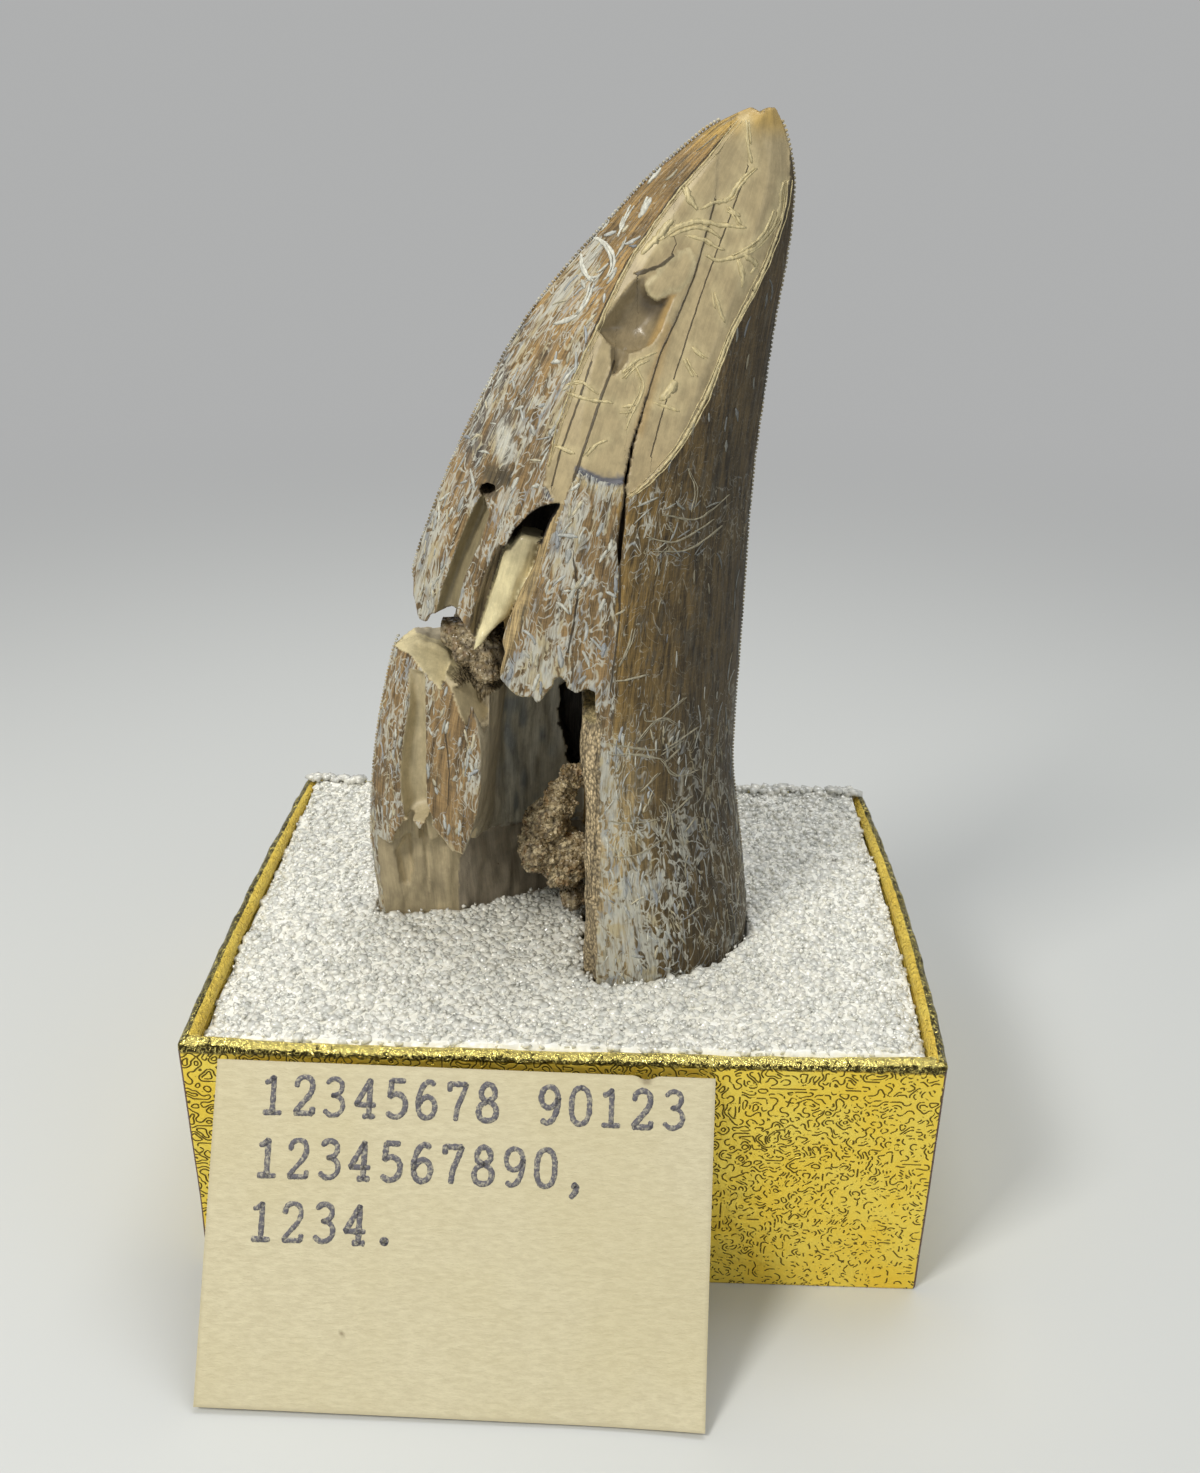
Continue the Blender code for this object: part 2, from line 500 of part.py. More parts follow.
def build_rock(name, centre, radii, walls, roughness):
    """A crumbly lump of matrix: a ball pushed in and out into ledges and flat faces."""
    look = material(name + "_rock", (0.22, 0.16, 0.10), 0.6)
    made = bmesh.new()
    bmesh.ops.create_icosphere(made, subdivisions=3, radius=1.0)
    for vertex in made.verts:
        direction = vertex.co.normalized()
        coarse = noise.noise(direction * 1.8 + Vector(centre) * 0.3)
        ledge = noise.cell(direction * 4.5 + Vector(centre))
        size = 1.0 + roughness * (coarse + 0.6 * ledge)
        place = Vector(centre) + Vector(direction[k] * radii[k] * size for k in range(3))
        for normal, distance in walls:
            beyond = place.dot(Vector(normal)) - distance
            if beyond > 0:
                place -= Vector(normal) * beyond
        vertex.co = place
    return add_object(name, made, look)


def main():
    for old in list(bpy.data.objects):
        bpy.data.objects.remove(old)
    build_box()
    build_bed()
    build_tooth()
    build_rock("matrix_lump", LUMP_CENTRE, LUMP_RADII, LUMP_WALLS, ROCK_ROUGHNESS)
    build_rock("matrix_neck", NECK_CENTRE, NECK_RADII, NECK_WALLS, ROCK_ROUGHNESS)
    build_card()


main()
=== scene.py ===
import math

import bpy
import numpy as np
import openvdb
from mathutils import Matrix, Vector
from mathutils.bvhtree import BVHTree


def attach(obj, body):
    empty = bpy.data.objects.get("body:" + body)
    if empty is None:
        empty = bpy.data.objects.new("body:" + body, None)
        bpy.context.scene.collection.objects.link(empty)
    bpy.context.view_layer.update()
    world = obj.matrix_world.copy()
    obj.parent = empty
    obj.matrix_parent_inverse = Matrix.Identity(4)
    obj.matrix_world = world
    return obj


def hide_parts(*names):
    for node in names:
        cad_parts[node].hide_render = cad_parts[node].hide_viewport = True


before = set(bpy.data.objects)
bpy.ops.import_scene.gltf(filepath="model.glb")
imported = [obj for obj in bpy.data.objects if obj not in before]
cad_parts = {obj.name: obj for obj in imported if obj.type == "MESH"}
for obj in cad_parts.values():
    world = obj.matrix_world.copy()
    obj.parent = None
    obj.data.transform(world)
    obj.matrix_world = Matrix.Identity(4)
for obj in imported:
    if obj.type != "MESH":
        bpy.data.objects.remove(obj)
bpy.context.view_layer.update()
mm = 0.001
print("frame loaded:", len(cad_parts), "solids")


# Small helpers for node materials; a node goes into the tree of whatever feeds it

def feed(socket, value):
    if isinstance(value, bpy.types.NodeSocket):
        socket.id_data.links.new(value, socket)
    else:
        socket.default_value = value


def setLook(shader, **values):
    for key, value in values.items():
        feed(shader.inputs[key.replace("_", " ")], value)


def addNode(kind, inputs=None, tree=None, **settings):
    inputs = inputs or {}
    sources = [value.id_data for value in inputs.values() if isinstance(value, bpy.types.NodeSocket)]
    made = (tree or sources[0]).nodes.new(kind)
    for key, value in settings.items():
        setattr(made, key, value)
    for key, value in inputs.items():
        feed(made.inputs[key], value)
    return made


def maths(operation, first, second=0.0):
    return addNode("ShaderNodeMath", {0: first, 1: second}, operation=operation).outputs[0]


def plus(first, second):
    return maths("ADD", first, second)


def minus(first, second):
    return maths("SUBTRACT", first, second)


def times(first, second):
    return maths("MULTIPLY", first, second)


def ease(value, low, high, fromLow=0.0, fromHigh=1.0):
    # smooth step of a value between two levels
    levels = {"Value": value, "From Min": low, "From Max": high, "To Min": fromLow, "To Max": fromHigh}
    return addNode("ShaderNodeMapRange", levels, interpolation_type="SMOOTHSTEP").outputs["Result"]


def blend(share, first, second, mode="MIX"):
    first, second = ((*tone, 1.0) if isinstance(tone, tuple) else tone for tone in (first, second))
    mixed = addNode("ShaderNodeMix", {0: share, 6: first, 7: second}, data_type="RGBA", blend_type=mode)
    return mixed.outputs[2]


def stretch(place, scale, turn=(0.0, 0.0, 0.0), shift=(0.0, 0.0, 0.0)):
    inputs = {"Vector": place, "Scale": scale, "Rotation": turn, "Location": shift}
    return addNode("ShaderNodeMapping", inputs).outputs[0]


def cloud(place, scale, detail=3.0, roughness=0.55, distortion=0.0, output="Fac", **moved):
    # the scale is one number, or one for each axis, where it may also be turned and shifted
    if isinstance(scale, tuple):
        place, scale = stretch(place, scale, **moved), 1.0
    inputs = {"Vector": place, "Scale": scale, "Detail": detail, "Roughness": roughness,
              "Distortion": distortion}
    return addNode("ShaderNodeTexNoise", inputs).outputs[output]


def cells(place, scale):
    made = addNode("ShaderNodeTexVoronoi", {"Vector": place, "Scale": scale}, feature="F1")
    return made.outputs["Distance"]


def axesOf(vector):
    return addNode("ShaderNodeSeparateXYZ", {0: vector}).outputs


def joined(*values):
    return addNode("ShaderNodeCombineXYZ", dict(enumerate(values))).outputs[0]


def vectors(operation, first, *others, output=0):
    made = addNode("ShaderNodeVectorMath", dict(enumerate((first, *others))), operation=operation)
    return made.outputs[output]


def newFinish(name):
    # a material, its shader, and the place on the object in millimetres
    finish = bpy.data.materials.new(name)
    finish.use_nodes = True
    shader = finish.node_tree.nodes["Principled BSDF"]
    place = addNode("ShaderNodeTexCoord", tree=finish.node_tree).outputs["Object"]
    return finish, shader, vectors("MULTIPLY", place, (1000.0,) * 3)


def reading(shader, name, output="Fac"):
    return addNode("ShaderNodeAttribute", tree=shader.id_data, attribute_name=name).outputs[output]


def greyTimes(colour, level):
    return blend(1.0, colour, joined(level, level, level), "MULTIPLY")


def relief(shader, height, distance):
    # chains one more bump in front of the shader's normal
    inputs = {"Height": height, "Distance": distance}
    before = shader.inputs["Normal"].links
    if before:
        inputs["Normal"] = before[0].from_socket
    setLook(shader, Normal=addNode("ShaderNodeBump", inputs).outputs[0])


# Small helpers for shapes, all in millimetres

def finishPiece(name, points, faces, finish, node=None, smooth=True, sharpAngle=None):
    mesh = bpy.data.meshes.new(name)
    mesh.from_pydata([], [], [])
    points = np.asarray(points, np.float64) * mm
    faces = np.asarray(faces, np.int32)
    mesh.vertices.add(len(points))
    mesh.vertices.foreach_set("co", points.astype(np.float32).ravel())
    sides = faces.shape[1]
    mesh.loops.add(faces.size)
    mesh.loops.foreach_set("vertex_index", faces.ravel())
    mesh.polygons.add(len(faces))
    mesh.polygons.foreach_set("loop_start", np.arange(len(faces), dtype=np.int32) * sides)
    mesh.update(calc_edges=True)
    mesh.validate()
    mesh.materials.append(finish)
    if smooth:
        mesh.shade_smooth()
        if sharpAngle is not None:
            mesh.set_sharp_from_angle(angle=math.radians(sharpAngle))
    piece = bpy.data.objects.new(name, mesh)
    bpy.context.scene.collection.objects.link(piece)
    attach(piece, "root")
    if node:
        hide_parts(node)
    return piece


def triangulated(quads):
    return np.vstack([quads[:, :3], quads[:, [0, 2, 3]]])


def closedSheet(upper, lower):
    # two grids of places, joined all round their edge; upper is counted first
    wide, deep = upper.shape[:2]
    index = np.arange(wide * deep).reshape(wide, deep)
    corners = np.stack([index[:-1, :-1], index[1:, :-1], index[1:, 1:], index[:-1, 1:]], -1).reshape(-1, 4)
    rim = np.concatenate([index[:, 0], index[-1, 1:], index[-2::-1, -1], index[0, -2:0:-1]])
    after = np.roll(rim, -1)
    walls = np.stack([rim + index.size, after + index.size, after, rim], 1)
    points = np.concatenate([upper.reshape(-1, 3), lower.reshape(-1, 3)])
    return points, triangulated(np.vstack([corners, corners[:, [0, 3, 2, 1]] + index.size, walls]))


def between(heights, values, wanted):
    # cubic through the stations, as the solids have it
    heights, values = np.asarray(heights, float), np.asarray(values, float)
    wanted = np.clip(wanted, heights[0], heights[-1])
    low = np.clip(np.searchsorted(heights, wanted) - 1, 0, len(heights) - 2)
    before = np.maximum(np.arange(len(heights)) - 1, 0)
    after = np.minimum(np.arange(len(heights)) + 1, len(heights) - 1)
    slopes = (values[after] - values[before]) / (heights[after] - heights[before])
    span = heights[low + 1] - heights[low]
    t = (wanted - heights[low]) / span
    a, b = 2 * t ** 3 - 3 * t ** 2 + 1, t ** 3 - 2 * t ** 2 + t
    c, d = 3 * t ** 2 - 2 * t ** 3, t ** 3 - t ** 2
    return a * values[low] + b * span * slopes[low] + c * values[low + 1] + d * span * slopes[low + 1]


def outlineDistance(across, up, corners):
    # signed distance to a closed outline, negative inside; corners may vary with the place
    best, inside = 1e9, False
    for (ax, az), (bx, bz) in zip(corners, corners[1:] + corners[:1]):
        ex, ez = bx - ax, bz - az
        wx, wz = across - ax, up - az
        t = np.clip((wx * ex + wz * ez) / (ex * ex + ez * ez + 1e-12), 0, 1)
        best = np.minimum(best, (wx - ex * t) ** 2 + (wz - ez * t) ** 2)
        level = np.where(np.abs(ez) < 1e-9, 1e-9, ez)
        inside = inside ^ (((az > up) != (bz > up)) & (across < ex * (up - az) / level + ax))
    return np.where(inside, -np.sqrt(best), np.sqrt(best)).astype(np.float32)


def lineDistance(across, up, points):
    # distance to an open line, and how far along it the nearest place is (0 to 1)
    best, along = np.full(np.broadcast(across, up).shape, 1e9), 0.0
    count = len(points) - 1
    for i, ((ax, az), (bx, bz)) in enumerate(zip(points, points[1:])):
        ex, ez = bx - ax, bz - az
        wx, wz = across - ax, up - az
        t = np.clip((wx * ex + wz * ez) / (ex * ex + ez * ez + 1e-12), 0, 1)
        gap = np.hypot(wx - ex * t, wz - ez * t)
        along = np.where(gap < best, (i + t) / count, along)
        best = np.minimum(best, gap)
    return best.astype(np.float32), along


def softNoise(seed, *coords):
    # value noise from -1 to 1, one random value per unit of each coordinate
    table = np.random.default_rng(seed).permutation(4096)
    coords = np.broadcast_arrays(*coords)
    floors = [np.floor(c).astype(np.int64) for c in coords]
    parts = [c - f for c, f in zip(coords, floors)]
    parts = [p * p * (3 - 2 * p) for p in parts]
    total = np.zeros(coords[0].shape)
    for corner in range(2 ** len(coords)):
        key, weight = 0, 1.0
        for k, (f, p) in enumerate(zip(floors, parts)):
            bit = corner >> k & 1
            key = table[(key + f + bit) & 4095]
            weight = weight * (p if bit else 1 - p)
        total += weight * (key / 2047.5 - 1)
    return total


def step(values, low, high):
    t = np.clip((values - low) / (high - low), 0, 1)
    return t * t * (3 - 2 * t)


# Camera and room

cameraSet = {
    "place": (3.84, -96.90, 80.55),
    "forward": (-0.01781, 0.90708, -0.42058),
    "right": (0.99953, 0.02659, 0.01501),
    "lens": 33.45,
}

roomSet = {
    "floorSize": 4000.0,
    "floorTone": (0.585, 0.60, 0.59), "fade": (70.0, 300.0),
    "worldTone": (0.97, 0.98, 0.98),
    "worldPower": 0.44,
    # name: place, aim, size, power, tone
    "lamps": {
        "keyLamp": ((-150, -170, 250), (0, 0, 35), (75, 75), 0.62, (1.0, 0.97, 0.91)),
        "fillLamp": ((230, -190, 150), (0, 0, 30), (160, 160), 0.13, (0.95, 0.97, 1.0)),
        "topLamp": ((20, 60, 290), (0, 0, 35), (160, 120), 0.30, (1.0, 1.0, 1.0)),
    },
}


def makeCamera():
    forward = Vector(cameraSet["forward"]).normalized()
    right = Vector(cameraSet["right"]).normalized()
    up = right.cross(forward).normalized()
    turn = Matrix((right, up, -forward)).transposed().to_4x4()
    turn.translation = Vector(cameraSet["place"]) * mm
    lens = bpy.data.cameras.new("photoView")
    lens.lens = cameraSet["lens"]
    lens.sensor_width = 36.0
    lens.sensor_fit = "AUTO"
    lens.clip_start = 0.001
    holder = bpy.data.objects.new("photoView", lens)
    holder.matrix_world = turn
    bpy.context.scene.collection.objects.link(holder)
    bpy.context.scene.camera = holder


def makeLamps():
    for name, (place, aim, size, power, tone) in roomSet["lamps"].items():
        lamp = bpy.data.lights.new(name, "AREA")
        lamp.shape = "RECTANGLE"
        lamp.size, lamp.size_y = size[0] * mm, size[1] * mm
        lamp.energy = power
        lamp.color = tone
        holder = bpy.data.objects.new(name, lamp)
        holder.location = Vector(place) * mm
        holder.rotation_euler = (Vector(aim) - Vector(place)).to_track_quat("-Z", "Y").to_euler()
        bpy.context.scene.collection.objects.link(holder)


def makeRoom():
    world = bpy.data.worlds.new("softRoom")
    world.use_nodes = True
    sky = world.node_tree.nodes["Background"]
    setLook(sky, Color=(*roomSet["worldTone"], 1.0), Strength=roomSet["worldPower"])
    bpy.context.scene.world = world
    finish, shader, place = newFinish("paleFloor")
    setLook(shader, Base_Color=(*roomSet["floorTone"], 1.0), Roughness=0.6)
    # far away the floor turns into the room's own tone, so that no line shows between them
    away = vectors("LENGTH", place, output="Value")
    glow = addNode("ShaderNodeEmission", {0: (*roomSet["worldTone"], 1.0), 1: roomSet["worldPower"]},
                   finish.node_tree)
    mixed = addNode("ShaderNodeMixShader", {0: ease(away, *roomSet["fade"]), 1: shader.outputs[0],
                                            2: glow.outputs[0]})
    setLook(finish.node_tree.nodes["Material Output"], Surface=mixed.outputs[0])
    half = roomSet["floorSize"] / 2 * mm
    mesh = bpy.data.meshes.new("paleFloor")
    corners = [(-half, -half, 0), (half, -half, 0), (half, half, 0), (-half, half, 0)]
    mesh.from_pydata(corners, [], [(0, 1, 2, 3)])
    mesh.materials.append(finish)
    table = bpy.data.objects.new("paleFloor", mesh)
    bpy.context.scene.collection.objects.link(table)


makeCamera()
makeLamps()
makeRoom()
bpy.context.scene.view_settings.view_transform = "Standard"
print("camera, lamps and floor made")


# The tooth: a block of small cells, each holding its distance to the tooth's surface, carved cut by cut

crown = {
    "height": [21.6, 26.0, 30.0, 34.0, 38.0, 42.0, 46.0, 50.0, 54.0, 58.0, 62.0, 65.0, 68.0, 71.0, 73.5, 76.0,
               78.0, 79.4, 80.4],
    "left": [-16.0, -16.3, -16.1, -15.65, -14.95, -14.0, -12.9, -11.8, -10.3, -8.6, -6.6, -4.95, -2.95, -0.4,
             1.95, 4.35, 6.7, 8.6, 10.7],
    "right": [14.1, 13.5, 12.9, 12.3, 12.2, 12.25, 12.3, 12.35, 12.4, 12.55, 12.85, 13.1, 13.4, 13.8, 14.0,
              14.0, 13.6, 13.1, 12.5],
    "front": [10.1, 9.95, 9.7, 9.5, 9.25, 8.95, 8.6, 8.2, 7.75, 7.2, 6.5, 5.8, 5.05, 4.2, 3.5, 2.8, 2.2,
              1.6, 0.9],
    "back": [9.6, 9.3, 9.0, 8.7, 8.3, 7.9, 7.5, 7.0, 6.4, 5.8, 5.2, 4.6, 4.0, 3.4, 2.9, 2.4, 1.9, 1.4, 0.8],
    "ridgeY": -1.0,
    "root": 14.5,
    "tipNotch": (11.45, 0.28, 0.3),      # x, half width, depth
    "grainDepth": (0.10, 0.04, 0.015),   # slow swell, fibres, fine fibres
}

block = {
    "cell": 0.165,
    "low": (-17.3, -12.3, 13.9),
    "high": (15.3, 10.5, 81.3),
    "mostTriangles": 186000,
    "mostTrianglesQuick": 90000,
}

facet = {
    "plane": (-19.55, 0.125, 0.205, 0.0042, 68.0),   # y, slopes in x and z, scoop and its middle
    "leastStep": 0.14,
    "outline": [(10.9, 82.0), (9.95, 79.7), (8.35, 77.6), (6.67, 75.8), (4.99, 73.5), (3.47, 71.35),
                (1.95, 68.4), (1.2, 66.7), (0.35, 65.0), (-0.45, 62.6), (-1.05, 60.9), (-1.6, 59.3),
                (-1.85, 57.4), (-1.05, 56.1), (-0.6, 56.4), (0.06, 58.1), (0.45, 58.65), (1.1, 58.35),
                (1.9, 58.0), (2.6, 57.8), (3.4, 57.85), (3.66, 56.85), (5.09, 57.9), (6.5, 59.45),
                (7.54, 60.98), (8.9, 63.7), (10.05, 66.7), (11.4, 69.2), (12.56, 71.7), (13.31, 74.5),
                (13.6, 76.2), (13.5, 78.0), (13.3, 82.0)],
    # long slabs between the cracks, each set in or out a little: the line on its left, and how deep
    "slabs": [([(2.6, 66.0), (1.5, 62.3), (0.4, 58.9), (0.0, 56.0)], -0.1),
              ([(8.8, 75.1), (7.6, 70.4), (6.6, 68.2), (5.5, 65.6), (4.6, 62.5), (3.9, 60.1), (3.4, 56.5)],
               0.16),
              ([(10.8, 77.0), (9.9, 74.4), (8.3, 70.0), (6.9, 65.5), (5.7, 61.7), (5.0, 58.0)], -0.07)],
}

# name: outline as (x, z), floor y, how much the floor rises towards its edge, over what width, roughness
hollows = {
    "underSlab": ([(-20, 12), (-20, 26.2), (-14.6, 26.6), (-13.2, 29.6), (-12.4, 30.9), (-11.6, 29.6),
                   (-10.9, 31.2), (-10.2, 30.4), (-8.9, 29.3), (-8.1, 29.3), (-6, 25), (-6, 12)], -2.45, 0,
                  1, 0.1),
    "notch": ([(-20, 49.2), (-11.95, 49.2), (-11.9, 47.5), (-11.55, 46.3), (-11, 45.75), (-10.5, 46.8),
               (-8.4, 47.5), (-7.7, 46.8), (-7.1, 45.7), (-6.2, 45.7), (-5, 47), (-4.7, 45.7), (-5, 43.9),
               (-5, 41.4), (-7, 41.4), (-9.2, 42.7), (-9.8, 43.5), (-11, 43.7), (-12.3, 44.3), (-13.3, 44),
               (-14, 42.6), (-20, 42.6)], 2.6, 0, 1, 0.08),
    "flakeHem": ([(-5.15, 41), (-5.1, 43.8), (-4.35, 43.1), (-3.5, 42.7), (-2.6, 42.8), (-2.3, 42.3),
                  (-1.8, 43), (-1.15, 43.8), (-0.3, 43.7), (0.45, 43.2), (1.1, 43.5), (1.7, 43.4),
                  (1.75, 41)], -3.2, 0, 1, 0.06),
    "grooveLeft": ([(-14.3, 26), (-13.5, 27.6), (-12.9, 27.9), (-12.7, 24.3), (-13.3, 22.6), (-13.9, 22.9)],
                   -1.3, 0.8, 0.5, 0.05),
    "grooveMiddle": ([(-12.2, 28.6), (-11.6, 29.2), (-11.2, 26), (-11.4, 21), (-12, 21)], -1.6, 0.6, 0.4,
                     0.05),
    "grooveRight": ([(-10.7, 28.8), (-10, 29.6), (-8.8, 29), (-9.4, 26.4), (-10.5, 26.2)], -1, 0.8, 0.6,
                    0.05),
    "hole": ([(-0.85, 56.2), (-1.5, 56.15), (-2.2, 55.9), (-3.05, 55.2), (-4, 54.1), (-4.55, 52.9),
              (-2.9, 53), (-2.1, 53.3), (-1.6, 54.7)], -1.5, 0, 1, 0.04),
    "shardDip": ([(-2.2, 53.2), (-2.75, 51.1), (-3.6, 49.6), (-4.3, 48.2), (-4.9, 46.2), (-5, 45),
                  (-7.7, 44.6), (-7.3, 47), (-6.6, 49.3), (-5.8, 51.2), (-5, 52.9)], -5.4, 0.9, 0.6, 0.05),
    "channel": ([(-6.3, 56), (-7, 54.9), (-7.7, 53.5), (-8.4, 51.9), (-9, 50.3), (-9.6, 48.9),
                 (-10.75, 45.1), (-8.9, 45.1), (-8.25, 47.9), (-7.7, 50.1), (-6.6, 52.6), (-5.8, 54.8)],
                -3.35, 1.1, 0.75, 0),
    "smallHole": ([(-6.6, 56.1), (-6.35, 56.6), (-5.9, 56.75), (-5.4, 56.7), (-5.35, 56.2), (-5.9, 55.75),
                   (-6.4, 55.8)], -1.2, 0.2, 0.2, 0),
    "blockChannel": ([(-12.9, 43), (-10.9, 42.2), (-10.9, 36.9), (-10.95, 32.4), (-10.4, 30.9),
                      (-12.9, 30.2), (-13.3, 33.8), (-12.9, 37), (-12.4, 39.5)], -2.9, 1, 0.9, 0),
    "pit": ([(1.55, 67.1), (2.3, 66.3), (3.2, 65.75), (4, 65.85), (4.9, 66.35), (5.6, 67.3), (6.3, 68.5),
             (6.95, 69.5), (6.5, 69.9), (5.6, 69.3), (4.95, 69.7), (4.7, 70.1), (5.2, 70.7), (5.7, 71.2),
             (5.4, 71.2), (4.5, 70.75), (3.6, 70.45), (2.7, 69.2)], -3.9, 1.2, 1.6, 0.03),
    "pitTail": ([(2.35, 66.5), (3.6, 66.1), (3.4, 65.3), (2.9, 64.6), (2.5, 64.4), (2.4, 65.3)], -5.2, 0.5,
                0.4, 0.02),
    "hemChip": ([(-1.2, 44.2), (-0.7, 44.5), (-0.2, 44.1), (-0.5, 43.2), (-1.1, 43.4)], -7.9, 0.2, 0.3,
                0.02),
}

# name: points as (x, z, width), and how deep the crack goes at its top and its bottom
cracks = {
    "crackLong": ([(4.75, 63, 0.04), (4.3, 61.4, 0.08), (3.9, 60.1, 0.13), (3.45, 57.6, 0.18)], -5.4, -4.8),
    "crackFlake": ([(3.45, 57.4, 0.06), (3.45, 56.4, 0.14), (3.35, 55, 0.32), (3.2, 53.4, 0.3),
                    (3.25, 51.8, 0.08), (3.3, 49.5, 0.04)], -6.9, -7),
}
# thin cracks that are only drawn: points as (x, z), and half their width
hairlines = [
    ([(10.8, 77), (9.9, 74.4), (8.3, 70), (6.9, 65.5), (5.7, 61.7), (5.1, 59.3)], 0.035),
    ([(8.8, 75.1), (7.6, 70.4), (6.7, 68.2), (5.5, 65.6), (4.6, 62.5), (3.9, 60.1), (3.45, 57.6)], 0.05),
    ([(6.2, 71.7), (5.42, 71.1), (4.72, 70.9), (3.93, 70.54)], 0.12),
    ([(1.15, 65.4), (0.3, 62.8), (-0.9, 59.4), (-1.4, 57.3)], 0.05),
    ([(2.6, 65.3), (1.5, 62.3), (0.4, 58.9), (0.05, 57.9)], 0.075),
    ([(3.45, 57.4), (3.45, 56.4), (3.35, 55), (3.2, 53.4), (3.25, 51.8), (3.3, 49), (3.1, 46.5), (2.9, 45),
      (2.8, 43.4)], 0.06),
    ([(0.1, 53), (0.5, 50.6), (0.2, 48.4), (-0.2, 46.2)], 0.05),
    ([(-9.3, 39.2), (-9, 35.5), (-9.2, 32.6)], 0.04),
    ([(9.6, 79.2), (8, 77.4), (6.35, 75.6), (4.7, 73.3), (3.2, 71.2), (1.7, 68.2), (1, 66.7)], 0.045),
]

breakLow = [(-20, -18), (-20, -2.3), (-15.5, -2.05), (-10.05, -1.5), (-8, -0.7), (-5.6, 0.8), (-2.2, 3),
            (0.6, 3.6), (1.2, 0.5), (1.35, -9.2), (2.1, -10.9), (2.1, -18)]
breakLowTop = 27.4
# how rough some of the cuts are, broadly and finely
cutRoughness = {
    "underSlab": (0.12, 0.05), "notch": (0.06, 0.02), "flakeHem": (0.05, 0.05), "grooveLeft": (0.04, 0.03),
    "grooveMiddle": (0.04, 0.03), "grooveRight": (0.04, 0.03), "hole": (0.05, 0), "shardDip": (0.06, 0.05),
    "channel": (0, 0.015), "blockChannel": (0, 0.02), "pit": (0.05, 0),
}

breakMain = [
    (27, [(-9, -18), (-9, -6), (-8, -2.5), (-5.8, 0.9), (-2.2, 3.1), (0.7, 3.7), (1.25, 0.4), (1.35, -9.2),
          (2.35, -10.7), (2.35, -18)]),
    (31.75, [(-7.1, -18), (-7.1, -8.2), (-6.7, -3.2), (-5.7, 1), (-2.1, 3.3), (0.8, 3.7), (1.2, 0.3),
             (1.25, -9.2), (2.4, -10.6), (2.4, -18)]),
    (35, [(-6.45, -18), (-6.45, -8.3), (-6.2, -3.4), (-5.6, 1.1), (-2.1, 3.4), (0.8, 3.7), (1.15, 0.2),
          (1.2, -9.1), (2.3, -10.5), (2.3, -18)]),
    (38.2, [(-6.5, -18), (-6.5, -8), (-5.8, -3.6), (-5.4, 1.1), (-2.1, 3.4), (0.8, 3.6), (1, 0),
            (0.95, -8.9), (2.25, -10.2), (2.25, -18)]),
    (41.2, [(-7, -18), (-7, -7.4), (-5.2, -3.6), (-5, 1), (-2, 3.2), (0.7, 3.4), (0.8, -0.4), (0.75, -8.6),
            (2.3, -9.9), (2.3, -18)]),
    (42.1, [(-6.4, -18), (-6.4, -7.2), (-4.9, -3.6), (-4.7, 0.8), (-2, 2.8), (0.5, 3), (0.6, -1),
            (0.7, -8.2), (1.6, -9.7), (1.6, -18)]),
]
cavity = [
    (41.6, [(-5.4, -5.9), (-4.6, 0.6), (-1.8, 2.2), (0.6, 2), (1, -3), (1.4, -7.4)]),
    (46, [(-5.6, -5), (-4.8, 0.2), (-2, 1.6), (0.5, 1.4), (1, -3), (1.2, -6.9)]),
    (50, [(-4.9, -4.8), (-4.4, -0.4), (-2, 0.8), (0.2, 0.4), (0.9, -2.6), (0.9, -6.4)]),
    (54, [(-4.3, -4.6), (-3.8, -1), (-2, 0), (-0.4, -0.4), (0.3, -2.8), (0.1, -6)]),
    (57, [(-3.2, -4.4), (-2.8, -2.2), (-1.9, -1.6), (-1, -1.9), (-0.6, -3.2), (-0.9, -4.8)]),
]
slitDepth = 6.4
slit = [(-1.4, 38.2), (-0.7, 38.8), (0.3, 37.6), (0.5, 33.6), (0.1, 30.6), (-0.5, 31), (-1.1, 33.8)]
backSpall = [(1.5, 49), (4.4, 46.5), (7.3, 49.5), (8.1, 56), (6.3, 61.5), (3.6, 60), (2, 55)]
backCracks = {
    "backCrackLong": ([(8.9, 69, 0.12), (6.9, 62, 0.22), (5.2, 52, 0.28), (4.3, 41, 0.28), (4.4, 30, 0.2)],
                      1.5, 5.2),
    "backCrackLeft": ([(-3.9, 58, 0.12), (-5.6, 50, 0.22), (-6.3, 42, 0.28), (-6, 35, 0.12)], 3.6, 5.2),
}
shard = [(-2.15, 53.3), (-2.75, 51.1), (-3.05, 50.1), (-3.8, 48.9), (-4.45, 47.9), (-5.5, 46.9),
         (-6.3, 45.9), (-7, 45.25), (-6.75, 46.2), (-6.35, 47.3), (-5.75, 49.2), (-5.2, 50.9), (-4.7, 52.4),
         (-3.6, 53.7)]
flap = [(4.5, 69.9), (4.75, 69.3), (5.25, 69), (6.1, 69.6), (6.6, 69.55), (7.35, 70.25), (7.6, 71.3),
        (7.2, 72.1), (6.4, 71.75), (5.7, 71.3), (5.2, 70.5)]
topChips = [  # small tilted facets on the block's broken top: point on the plane, outward normal, reach
    ((-12.9, -2.0, 43.3), (-0.35, -0.25, 0.9), 2.6),
    ((-11.3, -3.6, 42.75), (0.25, -0.35, 0.9), 1.8),
    ((-9.4, -6.6, 41.0), (-0.12, -0.80, 0.58), 1.75),
    ((-7.6, -5.6, 40.6), (0.75, -0.45, 0.5), 1.3),
]


def crownEdges(z):
    return [between(crown["height"], crown[name], z) for name in ("left", "right", "front", "back")]


